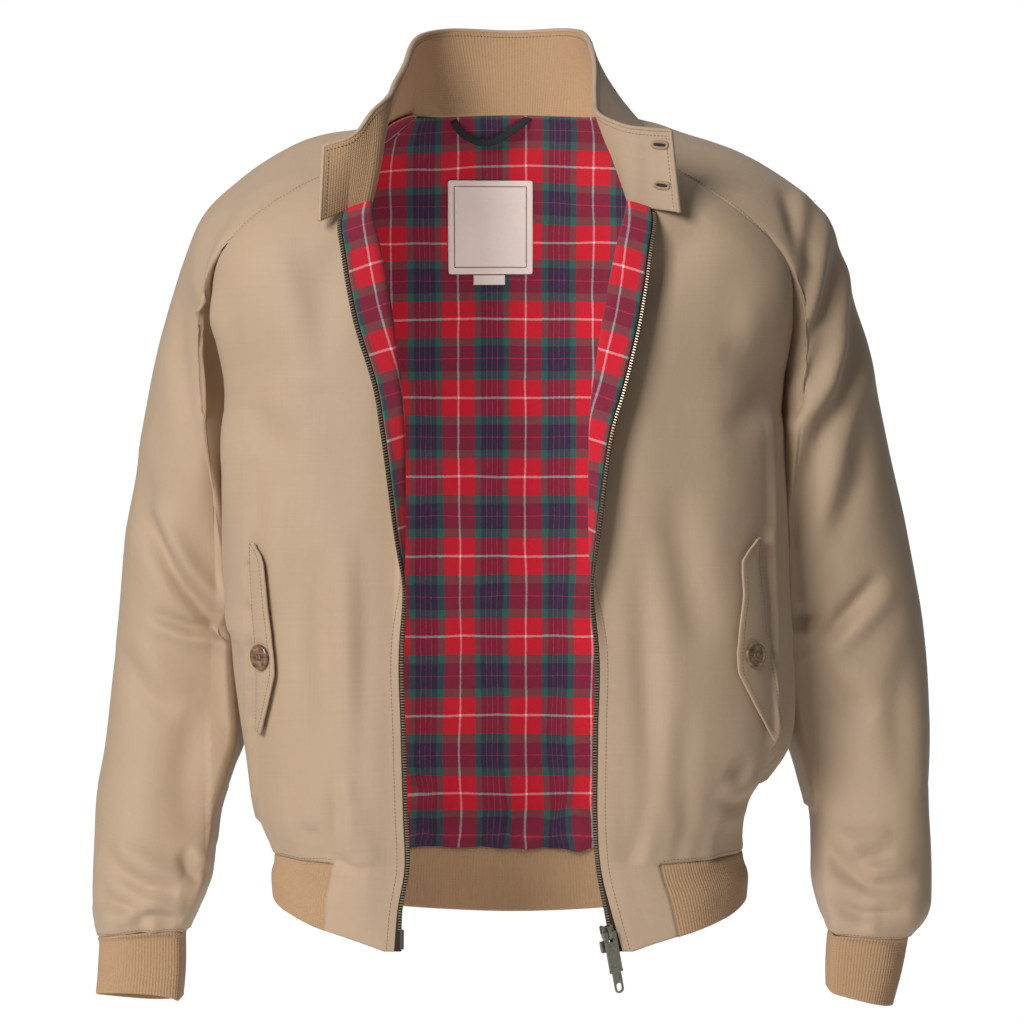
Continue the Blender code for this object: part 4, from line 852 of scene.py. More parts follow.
def bumped(tree, shader, layers):
    # layers of (height, strength, distance), the coarse ones first
    normal = None
    for height, strength, distance in layers:
        bump = tree.nodes.new("ShaderNodeBump")
        bump.inputs["Strength"].default_value = strength
        bump.inputs["Distance"].default_value = distance
        tree.links.new(height, bump.inputs["Height"])
        if normal:
            tree.links.new(normal, bump.inputs["Normal"])
        normal = bump.outputs["Normal"]
    tree.links.new(normal, shader.inputs["Normal"])


def wovenCloth():
    look = {"light": (0.505, 0.366, 0.250), "dark": (0.420, 0.300, 0.198), "slub": 0.45,
            "thread": 0.0005}
    made, tree, shader = newMaterial("wovenShell")
    body = mapped(tree, "Object")
    across = mapped(tree, "UV", scale=(14, 900, 1))
    along = mapped(tree, "UV", scale=(900, 14, 1))
    slub = maths(tree, "ADD", noiseOf(tree, across, 1.0), noiseOf(tree, along, 1.0))
    slub = maths(tree, "MULTIPLY", slub, 0.5)
    patch = noiseOf(tree, body, 14, 3)
    tone = maths(tree, "ADD", maths(tree, "MULTIPLY", slub, look["slub"] + 0.35),
                 maths(tree, "MULTIPLY", patch, 0.45))
    colour = mixed(tree, look["dark"], look["light"], tone)
    tree.links.new(colour, shader.inputs["Base Color"])
    setUp(shader, Roughness=0.62, Specular_IOR_Level=0.35, Sheen_Weight=0.12, Sheen_Roughness=0.45)
    warp = node(tree, "ShaderNodeTexWave", bands_direction="X", Scale=1 / look["thread"] / 6.3)
    weft = node(tree, "ShaderNodeTexWave", bands_direction="Y", Scale=1 / look["thread"] / 6.3)
    plain = mapped(tree, "UV")
    tree.links.new(plain, warp.inputs["Vector"])
    tree.links.new(plain, weft.inputs["Vector"])
    weave = maths(tree, "MULTIPLY", warp.outputs["Fac"], weft.outputs["Fac"])
    crumple = noiseOf(tree, body, 60, 3, 0.55)
    fine = noiseOf(tree, body, 260, 2, 0.5)
    bumped(tree, shader, ((crumple, 0.45, 0.0010), (fine, 0.40, 0.0003), (slub, 0.4, 0.00012),
                          (weave, 0.35, 0.00008)))
    return made


def stripes(tree, coordinate, period, bands, colours):
    # a colour ramp across one repeat: bands are (width in mm, colour name), centred on the first
    ramp = tree.nodes.new("ShaderNodeValToRGB")
    ramp.color_ramp.interpolation = "CONSTANT"
    total = sum(width for width, _ in bands)
    start = 0.0
    for k, (width, colour) in enumerate(bands):
        element = ramp.color_ramp.elements[k] if k < 2 else ramp.color_ramp.elements.new(0.999)
        element.position = start / total
        element.color = (*colours[colour], 1.0)
        start += width
    turn = maths(tree, "FRACT", maths(tree, "DIVIDE", coordinate, period))
    tree.links.new(turn, ramp.inputs["Fac"])
    return ramp.outputs["Color"]


def rooted(tree, colour, power):
    made = node(tree, "ShaderNodeGamma", Gamma=power)
    tree.links.new(colour, made.inputs["Color"])
    return made.outputs["Color"]


def tartanCloth(name, shiftU, shiftV, turn=0.0):
    colours = {"red": (0.62, 0.005, 0.024), "green": (0.016, 0.125, 0.098),
               "navy": (0.022, 0.018, 0.058), "white": (0.92, 0.76, 0.73),
               "pink": (0.36, 0.05, 0.10)}
    period = {"across": 0.0586, "along": 0.0690}
    across = ((0.85, "white"), (13.3, "red"), (5.6, "green"), (4.6, "navy"), (0.6, "pink"),
              (3.9, "navy"), (0.6, "pink"), (3.9, "navy"), (0.6, "pink"), (4.6, "navy"),
              (5.6, "green"), (13.3, "red"), (0.85, "white"))
    along = ((0.85, "white"), (14.9, "red"), (7.6, "green"), (10.4, "navy"), (0.8, "pink"),
             (10.4, "navy"), (7.6, "green"), (14.9, "red"), (0.85, "white"))
    made, tree, shader = newMaterial(name)
    cloth_ = mapped(tree, "UV", turn=turn, shift=(shiftU, shiftV, 0))
    body = mapped(tree, "Object")
    split = tree.nodes.new("ShaderNodeSeparateXYZ")
    tree.links.new(cloth_, split.inputs[0])
    fuzz = maths(tree, "MULTIPLY", maths(tree, "SUBTRACT", noiseOf(tree, body, 1500, 1), 0.5), 0.0016)
    wander = maths(tree, "MULTIPLY", maths(tree, "SUBTRACT", noiseOf(tree, body, 22, 1), 0.5), 0.003)
    u = maths(tree, "ADD", maths(tree, "ADD", split.outputs[0], fuzz), wander)
    v = maths(tree, "ADD", maths(tree, "ADD", split.outputs[1], fuzz), wander)
    warp = stripes(tree, u, period["across"], across, colours)
    weft = stripes(tree, v, period["along"], along, colours)
    woven = rooted(tree, mixed(tree, rooted(tree, warp, 0.5), rooted(tree, weft, 0.5), 0.5), 2.0)
    pile = noiseOf(tree, mapped(tree, "Object", scale=(1, 1, 0.45)), 900, 3, 0.6)
    dusty = mixed(tree, woven, (0.36, 0.20, 0.20), maths(tree, "MULTIPLY", pile, 0.10))
    tree.links.new(dusty, shader.inputs["Base Color"])
    setUp(shader, Roughness=0.92, Specular_IOR_Level=0.15, Sheen_Weight=0.18, Sheen_Roughness=0.6,
          Sheen_Tint=(0.9, 0.55, 0.55, 1.0))
    soft = noiseOf(tree, body, 70, 3, 0.5)
    bumped(tree, shader, ((soft, 0.4, 0.0008), (pile, 0.35, 0.0003)))
    return made


def ribKnit():
    look = {"light": (0.500, 0.322, 0.186), "dark": (0.395, 0.243, 0.132), "loop": 0.0011}
    made, tree, shader = newMaterial("ribKnit")
    body = mapped(tree, "Object")
    tone = maths(tree, "ADD", maths(tree, "MULTIPLY", noiseOf(tree, body, 700, 2), 0.6),
                 maths(tree, "MULTIPLY", noiseOf(tree, body, 25, 2), 0.4))
    tree.links.new(mixed(tree, look["dark"], look["light"], tone), shader.inputs["Base Color"])
    setUp(shader, Roughness=0.88, Specular_IOR_Level=0.2, Sheen_Weight=0.2, Sheen_Roughness=0.5)
    loops = node(tree, "ShaderNodeTexWave", bands_direction="Y", Scale=1 / look["loop"] / 6.3,
                 Distortion=1.2)
    tree.links.new(mapped(tree, "UV"), loops.inputs["Vector"])
    fluff = noiseOf(tree, body, 1400, 2)
    bumped(tree, shader, ((loops.outputs["Fac"], 0.5, 0.00025), (fluff, 0.4, 0.0002)))
    return made


def plainCloth(name, light, dark, thread=0.0004):
    made, tree, shader = newMaterial(name)
    body = mapped(tree, "Object")
    tone = noiseOf(tree, body, 500, 2)
    tree.links.new(mixed(tree, dark, light, tone), shader.inputs["Base Color"])
    setUp(shader, Roughness=0.8, Specular_IOR_Level=0.3)
    warp = node(tree, "ShaderNodeTexWave", bands_direction="DIAGONAL", Scale=1 / thread / 6.3)
    tree.links.new(body, warp.inputs["Vector"])
    bumped(tree, shader, ((warp.outputs["Fac"], 0.3, 0.0001), (tone, 0.2, 0.0001)))
    return made


def antiqueMetal(name, light, dark, rough=0.38):
    made, tree, shader = newMaterial(name)
    body = mapped(tree, "Object")
    wear = noiseOf(tree, body, 420, 3, 0.6)
    tree.links.new(mixed(tree, dark, light, wear), shader.inputs["Base Color"])
    shader.inputs["Metallic"].default_value = 0.9
    tree.links.new(maths(tree, "MULTIPLY_ADD", wear, 0.25, rough - 0.1), shader.inputs["Roughness"])
    bumped(tree, shader, ((noiseOf(tree, body, 1800, 2), 0.15, 0.0001),))
    return made


def hornMaterial():
    made, tree, shader = newMaterial("buttonHorn")
    body = mapped(tree, "Object", scale=(1, 1, 2.4))
    cloud = noiseOf(tree, body, 130, 4, 0.6)
    ramp = tree.nodes.new("ShaderNodeValToRGB")
    for element, (place, colour) in zip(ramp.color_ramp.elements,
                                        ((0.36, (0.055, 0.026, 0.012)),
                                         (0.68, (0.34, 0.19, 0.09)))):
        element.position = place
        element.color = (*colour, 1.0)
    tree.links.new(cloud, ramp.inputs["Fac"])
    tree.links.new(ramp.outputs["Color"], shader.inputs["Base Color"])
    setUp(shader, Roughness=0.28, Coat_Weight=0.3)
    bumped(tree, shader, ((cloud, 0.1, 0.0002),))
    return made


finish = {
    "woven": wovenCloth(),
    "tartanBack": tartanCloth("tartanBack", -0.0118, 0.2855),
    "tartanFront": tartanCloth("tartanFront", -0.0180, 0.1240),
    "tartanSleeve": tartanCloth("tartanSleeve", 0.0, 0.0),
    "hanger": plainCloth("hangerCloth", (0.030, 0.022, 0.034), (0.008, 0.018, 0.016)),
    "knit": ribKnit(),
    "label": plainCloth("labelCloth", (0.93, 0.82, 0.75), (0.87, 0.76, 0.69)),
    "labelFrame": plainCloth("labelFrameThread", (0.10, 0.055, 0.06), (0.07, 0.04, 0.045)),
    "horn": hornMaterial(),
    "brass": antiqueMetal("zipMetal", (0.36, 0.34, 0.28), (0.12, 0.11, 0.09)),
    "teeth": antiqueMetal("zipTeethMetal", (0.62, 0.53, 0.38), (0.25, 0.20, 0.14), 0.36),
    "dark": antiqueMetal("zipMetalDark", (0.16, 0.14, 0.12), (0.06, 0.055, 0.05), 0.42),
    "tape": plainCloth("zipTape", (0.042, 0.026, 0.017), (0.022, 0.014, 0.010)),
    "thread": plainCloth("sewingThread", (0.30, 0.205, 0.125), (0.22, 0.15, 0.088)),
    "buttonhole": plainCloth("buttonholeThread", (0.42, 0.31, 0.21), (0.32, 0.23, 0.15)),
    # the slit's near-black colour is painted shade standing in for the buttonhole's open cut
    "slitShade": plainCloth("buttonholeSlitPaintedShade", (0.035, 0.025, 0.020), (0.02, 0.015, 0.012)),
}
print("materials made")

# shell, lining


ribRow = list(levels).index(ribSeam)


def surfaceTree(points, closed=False):
    rows = roundRows(points, closed)
    high_, wide = rows.shape[:2]
    faces = [(i * wide + j, i * wide + j + 1, (i + 1) * wide + j + 1, (i + 1) * wide + j)
             for i in range(high_ - 1) for j in range(wide - 1)]
    return BVHTree.FromPolygons([Vector(p) for p in rows.reshape(-1, 3)], faces)


def liningOf(name, by):
    # inside the shell, and drawn further in beside the armhole and down the sleeve
    points = inner(name, by)
    closed = panels[name][1]
    out = points * (1, 1, 0)
    out[..., 1] -= 0.02
    out = unit(out)
    if closed:
        centre = points.mean(axis=1, keepdims=True)
        away = unit(points - centre)
        share = smoothStep(0.0, 0.9, sleevePlaces)[:, None, None]
        out = unit(out * (1 - share) + away * share)
        return points - out * 0.0055
    near = np.array([[math.exp(-(armTree.find(p)[2] / 0.022) ** 2) for p in row]
                     for row in points])
    return points - out * 0.0055 * near[..., None]


def hiddenCells(points, name, spare=0.0012):
    # the cells of a lining that stay inside its own shell and the sleeves'
    trees = [surfaceTree(*shaped[name])]
    trees += [surfaceTree(*shaped[f"sleeve_{side}"]) for side in sides if name[:6] != "sleeve"]
    good = np.ones(points.shape[:2], bool)
    for i, row in enumerate(points):
        for j, point in enumerate(row):
            for k, tree in enumerate(trees):
                where, way = tree.find_nearest(Vector(point), 0.012 if k else 0.03)[:2]
                if where is not None and (Vector(point) - where).dot(way) > -spare:
                    good[i, j] = False
    across = np.concatenate([good, good[:, :1]], axis=1)
    return across[:-1, :-1] & across[:-1, 1:] & across[1:, :-1] & across[1:, 1:]


def inner(name, by):
    points, _ = shaped[name]
    return points - outward[name] * by


liningDepth = cloth["shell"] + cloth["layerGap"]
for side in sides:
    points, _ = shaped[f"front_{side}"]
    cols = frontCols[side] if side == "right" else frontCols[side][::-1]
    middle = (cols[:-1] + cols[1:]) / 2
    lined = np.zeros(points.shape[:2], bool)  # cells above the waistband
    lined[ribRow:-1, :-1] = True
    body = lined.copy()
    body[:-1, :-1] |= middle > ribColumn[side]
    edge = len(cols) - 1 if side == "right" else 0
    uv = rowUv(points, edge)
    declare(
        clothMesh(f"front_{side}_cloth", points, uv, cloth["shell"], finish["woven"], cells=body),
        "woven_shell", f"front_{side}")
    uv[..., 0] *= 1 if side == "left" else -1
    points = liningOf(f"front_{side}", liningDepth)
    free = hiddenCells(points, f"front_{side}")[:, :-1]
    lined[:-1, :-1] &= free | (middle[None] > 1.5)
    declare(
        clothMesh(f"lining_front_{side}_cloth", points, uv,
                  cloth["lining"], finish["tartanFront"], cells=lined),
        "tartan_lining", f"lining_front_{side}")

upper = slice(ribRow, None)
points = shaped["back"][0][upper]
middleCol = list(backCols).index(6.0)
declare(
    clothMesh("back_cloth", points, rowUv(points, middleCol), cloth["shell"], finish["woven"]),
    "woven_shell", "back")

liningLoose = {"belly": 0.0075, "bellyAt": 0.016, "bellyTall": 0.020, "drop": 0.010,
               "wrinkle": 0.0028, "wrinkleScale": 16}


def backLining():
    # the lining hangs a little loose inside the back, and blouses over the waistband
    points = liningOf("back", liningDepth)[upper].copy()
    ways = outward["back"][upper]
    foot = points[0].copy()
    for i, row in enumerate(points):
        for j, point in enumerate(row):
            rise = point[2] - foot[j][2]
            turn = 1 + 0.55 * noise.noise((point[0] * 30, 2.5, 0)) \
                + 0.35 * noise.noise((point[0] * 75, 7.5, 0))
            belly = math.exp(-((rise - liningLoose["bellyAt"]) / liningLoose["bellyTall"]) ** 2)
            wrinkle = 0.5 + noise.noise((point[0] * liningLoose["wrinkleScale"], 0.3,
                                         point[2] * liningLoose["wrinkleScale"] * 0.55))
            free = smoothStep(0, 0.05, rise) * smoothStep(0.0, 0.09, -0.02 - point[2])
            inwards = liningLoose["belly"] * belly * turn
            inwards += liningLoose["wrinkle"] * max(0.0, wrinkle) * free
            point -= ways[i, j] * inwards
            point[2] -= liningLoose["drop"] * math.exp(-rise / 0.012) * (0.55 + 0.45 * turn)
    return points


points = backLining()
backUv = rowUv(shaped["back"][0][upper], middleCol)
backUv[..., 0] *= -1
declare(
    clothMesh("lining_back_cloth", points, backUv, cloth["lining"], finish["tartanBack"]),
    "tartan_lining", "lining_back")

linedTo = int(np.searchsorted(sleevePlaces, 4.0)) + 1
for side in sides:
    points = shaped[f"sleeve_{side}"][0]
    uv = metresUv(points, closed=True)
    declare(
        clothMesh(f"sleeve_{side}_cloth", points, uv, cloth["shell"], finish["woven"],
                  closed=True), "woven_shell", f"sleeve_{side}")
    points = liningOf(f"sleeve_{side}", liningDepth)[:linedTo]
    declare(
        clothMesh(f"lining_sleeve_{side}_cloth", points, uv[:linedTo], cloth["lining"],
                  finish["tartanSleeve"], closed=True,
                  cells=hiddenCells(points, f"sleeve_{side}")),
        "tartan_lining", f"lining_sleeve_{side}")
print("shell and lining made")

# knitted parts: ribs are real ridges

rib = {"pitch": 0.0025, "steps": 4, "deep": 0.00038}


def ribbed(points, closed=False, pitch=None, deep=None):
    # more columns, evenly spaced by length, with a ridge each pitch
    pitch = pitch or rib["pitch"]
    rows = roundRows(points, closed)
    step = np.linalg.norm(np.diff(rows, axis=1), axis=2).mean(axis=0)
    place = np.concatenate([[0], np.cumsum(step)])
    ribs = int(round(place[-1] / pitch))
    count = ribs * rib["steps"]
    at = np.linspace(0, place[-1], count + 1)
    fine = np.stack([[np.interp(at, place, row[:, k]) for k in range(3)] for row in rows])
    fine = fine.transpose(0, 2, 1)
    if closed:
        fine = fine[:, :-1]
    ways = unit(rawNormals(fine, closed))
    phase = np.arange(fine.shape[1]) / rib["steps"] * 2 * np.pi
    ridge = (deep or rib["deep"]) * (np.cos(phase) - 1)[None, :, None]
    thick = cloth["knit"]
    return fine + ways * ridge, fine - ways * (thick + ridge)


for side in sides:
    base = cuffs[side] if side == "left" else cuffs[side][:, ::-1]
    rise = np.linspace(0, 1, len(base))
    swell = 0.0012 * np.sin(np.pi * np.clip(rise * 1.05, 0, 1))
    base = base + unit(rawNormals(base, True)) * swell[:, None, None]
    outerFace, innerFace = ribbed(base, closed=True)
    declare(
        doubleCloth(f"cuff_{side}_knit", outerFace, innerFace, metresUv(outerFace, closed=True),
                    finish["knit"], closed=True), "rib_knit", f"cuff_{side}")

low = slice(0, ribRow + 1)
rightPart = shaped["front_right"][0][low][:, frontCols["right"] <= ribColumn["right"]]
leftPart = shaped["front_left"][0][low][:, (frontCols["left"] <= ribColumn["left"])[::-1]]
bandPoints = np.concatenate([leftPart, shaped["back"][0][low][:, 1:-1], rightPart], axis=1)
outerFace, innerFace = ribbed(bandPoints)
declare(
    doubleCloth("waistband_knit", outerFace, innerFace, metresUv(outerFace), finish["knit"]),
    "rib_knit", "waistband_rib")
print("knit made")

# the collar

collarShape = {"bindWide": 0.0034, "bindDeep": 0.0046}
foldRow = int(np.searchsorted(footMarks, collarFold))
uv = metresUv(collar)
declare(
    clothMesh("collar_shell_cloth", collar, uv, cloth["shell"], finish["woven"]),
    "woven_shell", "collar_shell")
inside = collar - outward["collar"] * liningDepth
declare(
    clothMesh("collar_tab_cloth", inside[foldRow:], uv[foldRow:], cloth["shell"],
              finish["woven"]), "woven_shell", "collar_tab")
knitPart = inside[:foldRow + 1, :-1].transpose(1, 0, 2)[::-1]
outerFace, innerFace = ribbed(knitPart, pitch=0.0024, deep=0.00022)
declare(
    doubleCloth("collar_knit", outerFace, innerFace, metresUv(outerFace), finish["knit"]),
    "rib_knit", "collar_rib")


def sweep(name, line, ways, outline, finishName, closedEnds=True):
    # an outline of (across, out) points carried along a line whose outward directions are ways
    maker = bmesh.new()
    line, ways = np.asarray(line, float), np.asarray(ways, float)
    ahead = unit(np.gradient(line, axis=0))
    ways = unit(ways - ahead * (ways * ahead).sum(axis=1, keepdims=True))
    across = np.cross(ahead, ways)
    loops = []
    for here, out, over in zip(line, ways, across):
        ring = [maker.verts.new(here + over * a + out * b) for a, b in outline]
        loops.append([maker.edges.new((ring[k], ring[(k + 1) % len(ring)]))
                      for k in range(len(ring))])
    for first, second in zip(loops, loops[1:]):
        bmesh.ops.bridge_loops(maker, edges=first + second)
    if closedEnds:
        bmesh.ops.holes_fill(maker, edges=loops[0] + loops[-1], sides=0)
    bmesh.ops.recalc_face_normals(maker, faces=maker.faces)
    return finished(name, maker, finish[finishName], sharp=60)


def oval(wide, deep, count=8):
    return [(wide / 2 * math.cos(2 * math.pi * k / count),
             deep / 2 * math.sin(2 * math.pi * k / count)) for k in range(count)]


middleDepth = (cloth["shell"] * 2 + cloth["layerGap"] + 0.0006) / 2
edgeLine = np.concatenate([collar[0], collar[1:-1, -1], collar[-1][::-1]])
edgeWays = np.concatenate([outward["collar"][0], outward["collar"][1:-1, -1],
                           outward["collar"][-1][::-1]])
binding = sweep("collar_edge", edgeLine - edgeWays * middleDepth, edgeWays,
                oval(collarShape["bindWide"], collarShape["bindDeep"]), "woven")
declare(binding, "woven_shell")
print("collar made")

# repeated small shapes: stitches, teeth


def repeated(name, template, matrices, finishName, sharp=None):
    maker = bmesh.new()
    for matrix in matrices:
        template.transform(matrix)
        maker.from_mesh(template)
        template.transform(matrix.inverted())
    return finished(name, maker, finish[finishName], sharp=sharp)


def frameMatrix(here, along, out, scale=(1, 1, 1)):
    # x along, z out
    z = Vector(out).normalized()
    x = Vector(along)
    x = (x - z * x.dot(z)).normalized()
    y = z.cross(x)
    turned = Matrix((x, y, z)).transposed().to_4x4()
    return Matrix.Translation(Vector(here)) @ turned @ Matrix.Diagonal((*scale, 1.0))


def smallBall(name, subdivisions):
    maker = bmesh.new()
    bmesh.ops.create_icosphere(maker, subdivisions=subdivisions, radius=0.5)
    mesh = bpy.data.meshes.new(name)
    maker.to_mesh(mesh)
    maker.free()
    return mesh


stitch = {"pitch": 0.0030, "long": 0.0024, "wide": 0.00062, "high": 0.00060, "lift": 0.0001,
          "reach": 0.001}
stitchShape = smallBall("stitch", 1)


def stitchLine(name, runs):
    # stitches along each run of (points, outward directions)
    matrices = []
    for line, ways in runs:
        line, ways = np.asarray(line, float), np.asarray(ways, float)
        place = alongOf(line)
        for at in np.arange(stitch["pitch"], place[-1] - stitch["pitch"] / 2, stitch["pitch"]):
            here, out = pointAt(at, place, line), pointAt(at, place, ways)
            ahead = pointAt(at + stitch["reach"], place, line)
            ahead = ahead - pointAt(at - stitch["reach"], place, line)
            matrices.append(frameMatrix(here + out * stitch["lift"], ahead, out,
                                        (stitch["long"], stitch["wide"], stitch["high"])))
    declare(repeated(name, stitchShape, matrices, "thread"), "woven_shell")


def beside(points, ways, distance, axis=1, fromEnd=False):
    # the line that runs at a distance from an edge of a panel
    if axis == 0:
        points, ways = points.transpose(1, 0, 2), ways.transpose(1, 0, 2)
    if fromEnd:
        points, ways = points[:, ::-1], ways[:, ::-1]
    line, out = [], []
    for row, way in zip(points, ways):
        place = alongOf(row)
        line.append(pointAt(distance, place, row))
        out.append(pointAt(distance, place, way))
    return np.array(line), unit(np.array(out))


runs = []
for side in sides:
    runs.append(beside(shaped[f"front_{side}"][0], outward[f"front_{side}"], 0.0062,
                       fromEnd=side == "right"))
stitchLine("front_edge_stitches", runs)

runs = [beside(collar, outward["collar"], 0.0042, fromEnd=True)]
line, out = beside(collar, outward["collar"], 0.0046, fromEnd=True)
depth = np.where(footMarks < collarFold, liningDepth + cloth["knit"] + 0.0001,
                 liningDepth + cloth["shell"])
runs.append((line - out * depth[:, None], -out))
for end, axisEnd in ((0, False), (-1, True)):
    line, out = beside(collar[:, 1:-2], outward["collar"][:, 1:-2], 0.0042, axis=0,
                       fromEnd=axisEnd)
    runs.append((line, out))
    depth = liningDepth + (cloth["knit"] + 0.0001 if end == 0 else cloth["shell"])
    runs.append((line - out * depth, -out))
stitchLine("collar_stitches", runs)

runs = []
for side in sides:
    points, ways = shaped[f"sleeve_{side}"][0], outward[f"sleeve_{side}"]
    runs.append(beside(points, ways, 0.0045, axis=0))
    runs.append(beside(points[-12:], ways[-12:], 0.004, axis=0, fromEnd=True))
runs.append(beside(shaped["back"][0][upper], outward["back"][upper], 0.004, axis=0))
for side in sides:
    cols = frontCols[side] if side == "right" else frontCols[side][::-1]
    keep = cols <= ribColumn[side]
    runs.append(beside(shaped[f"front_{side}"][0][upper][:, keep],
                       outward[f"front_{side}"][upper][:, keep], 0.004, axis=0))
stitchLine("seam_stitches", runs)
print("stitches sewn")

# the zip

zipSpec = {"tapeThick": 0.0009, "toothPitch": 0.0022, "toothAcross": 0.0033, "toothLong": 0.0011,
           "toothDeep": 0.0026, "high": 12.70, "sunk": 0.00075}
zipLow = {"right": 0.53, "left": 0.66}
zipLevels = np.linspace(0, 12.85, 220)


def zipStrip(side, levels_, beyond):
    # rows for levels, columns for distances beyond the cloth's edge
    rows = []
    for level in levels_:
        row = frontRowAt(side, level)
        rows.append([turnedPoint(side, row, row["turn"] + b(row)) for b in beyond])
    points = np.array(rows)
    points = points if side == "right" else points[:, ::-1]
    return points, unit(rawNormals(points))


def toothTemplate():
    maker = bmesh.new()
    bmesh.ops.create_cube(maker, size=1.0)
    for v in maker.verts:
        if v.co.y > 0:
            v.co.x *= 0.62
    bmesh.ops.bevel(maker, geom=list(maker.edges), offset=0.16, affect="EDGES", segments=1,
                    profile=0.5, material=-1)
    mesh = bpy.data.meshes.new("tooth")
    maker.to_mesh(mesh)
    maker.free()
    return mesh


toothShape = toothTemplate()
for side in sides:
    half = zipSpec["toothAcross"] / 2
    points, ways = zipStrip(side, zipLevels, (lambda r: -0.0030, lambda r: 0.0006,
                                              lambda r: max(0.0012, r["zipOut"] - half),
                                              lambda r: r["zipOut"] - 0.0002))
    tapePoints = points - ways * 0.0003
    piece = clothMesh(f"zip_tape_{side}_cloth", tapePoints, metresUv(tapePoints),
                      zipSpec["tapeThick"], finish["tape"])
    declare(piece, "zip_tape", f"zip_tape_{side}")
    fine = np.linspace(zipLow[side], zipSpec["high"], 400)
    strip, out = zipStrip(side, fine, (lambda r: r["zipOut"] - half, lambda r: r["zipOut"]))
    middleColumn = 0 if side == "right" else 1
    line, out = strip[:, middleColumn], out[:, middleColumn]
    outwards = strip[:, 1 - middleColumn] - line
    place = alongOf(line)
    matrices = []
    for at in np.arange(0, place[-1], zipSpec["toothPitch"]):
        here, way, across = (pointAt(at, place, v) for v in (line, out, outwards))
        across = unit(across)
        way = unit(way - across * (way @ across))
        here = here - way * zipSpec["sunk"]
        matrices.append(frameMatrix(here, np.cross(across, way), way,
                                    (zipSpec["toothLong"], zipSpec["toothAcross"],
                                     zipSpec["toothDeep"])))
    chain = repeated(f"zip_teeth_{side}", toothShape, matrices, "teeth", sharp=35)
    declare(chain, "zip_metal", f"zip_chain_{side}")

strip, out = zipStrip("right", np.linspace(0.05, 0.515, 12), (lambda r: r["zipOut"] - 0.001,
                                                              lambda r: r["zipOut"]))
pin = sweep("insertion_pin", strip[:, 1] - out[:, 1] * zipSpec["sunk"], out[:, 1],
            oval(0.0034, 0.0023, 10), "dark")
declare(pin, "zip_metal", "zip_pin")

zipEnd = {"centre": (0.0755, -0.1185, -0.6550), "lean": 12.0, "facing": (0.40, -0.92, 0.0)}
sliderSpec = {"wide": 0.0098, "long": 0.0125, "deep": 0.0058, "waist": 0.0070, "plate": 0.0014,
              "bridgeLong": 0.0112, "bridgeWide": 0.0030, "bridgeHigh": 0.0046, "bridgeThick": 0.0012}
boxSpec = {"centre": (0.0733, -0.1185, -0.6666), "size": (0.0062, 0.0092, 0.0034)}
pullSpec = {"bar": 0.0008, "slotWide": 0.0040, "slotLong": 0.0066, "wide": 0.0112,
            "plateLong": 0.0320, "eyeLong": 0.0170, "eyeWide": 0.0078, "eyeHole": 0.0046,
            "thick": 0.0018}


def sliderPlace():
    z = Vector(zipEnd["facing"]).normalized()
    lean = math.radians(zipEnd["lean"])
    up = Vector((-math.sin(lean), 0, math.cos(lean)))
    x = up.cross(z).normalized()
    y = z.cross(x)
    return Matrix((x, y, z)).transposed().to_4x4()


turnedZip = sliderPlace()
sliderMatrix = Matrix.Translation(zipEnd["centre"]) @ turnedZip


def roundedOutline(wide, long, radius, centre=(0, 0), steps=6):
    points = []
    for k, (sx, sy) in enumerate(((1, 1), (-1, 1), (-1, -1), (1, -1))):
        for step in range(steps + 1):
            turn = math.pi / 2 * (k + step / steps)
            points.append((centre[0] + sx * (wide / 2 - radius) + radius * math.cos(turn),
                           centre[1] + sy * (long / 2 - radius) + radius * math.sin(turn)))
    return points


def slab(maker, outline, low_, high_, bevel=0.0003):
    # an outline made a solid between two heights, with its rims rounded
    verts = [maker.verts.new((x, y, low_)) for x, y in outline]
    face = maker.faces.new(verts)
    grown = bmesh.ops.extrude_face_region(maker, geom=[face], use_keep_orig=True)
    top = [item for item in grown["geom"] if isinstance(item, bmesh.types.BMVert)]
    bmesh.ops.translate(maker, verts=top, vec=(0, 0, high_ - low_))
    rims = {edge for vert in verts + top for edge in vert.link_edges
            if all(abs(v.co.z - vert.co.z) < 1e-7 for v in edge.verts)}
    faces = {f for v in verts + top for f in v.link_faces}
    bmesh.ops.recalc_face_normals(maker, faces=list(faces))
    bmesh.ops.bevel(maker, geom=list(rims), offset=bevel, affect="EDGES", segments=2,
                    profile=0.5, material=-1)


def cutFrom(target, cutters):
    for cutter in cutters:
        change = target.modifiers.new("cut", "BOOLEAN")
        change.operation, change.solver, change.object = "DIFFERENCE", "EXACT", cutter
        bpy.context.view_layer.update()
        whole = bpy.data.meshes.new_from_object(
            target.evaluated_get(bpy.context.evaluated_depsgraph_get()))
        target.modifiers.clear()
        target.data = whole
        bpy.data.objects.remove(cutter)
    target.data.shade_smooth()
    target.data.set_sharp_from_angle(angle=math.radians(32))
    return target


def prism(name, outline, low_, high_, bevel=0.0):
    maker = bmesh.new()
    if bevel:
        slab(maker, outline, low_, high_, bevel)
    else:
        face = maker.faces.new([maker.verts.new((x, y, low_)) for x, y in outline])
        grown = bmesh.ops.extrude_face_region(maker, geom=[face], use_keep_orig=True)
        top = [item for item in grown["geom"] if isinstance(item, bmesh.types.BMVert)]
        bmesh.ops.translate(maker, verts=top, vec=(0, 0, high_ - low_))
        bmesh.ops.recalc_face_normals(maker, faces=maker.faces)
    return finished(name, maker, finish["brass"], smooth=False)


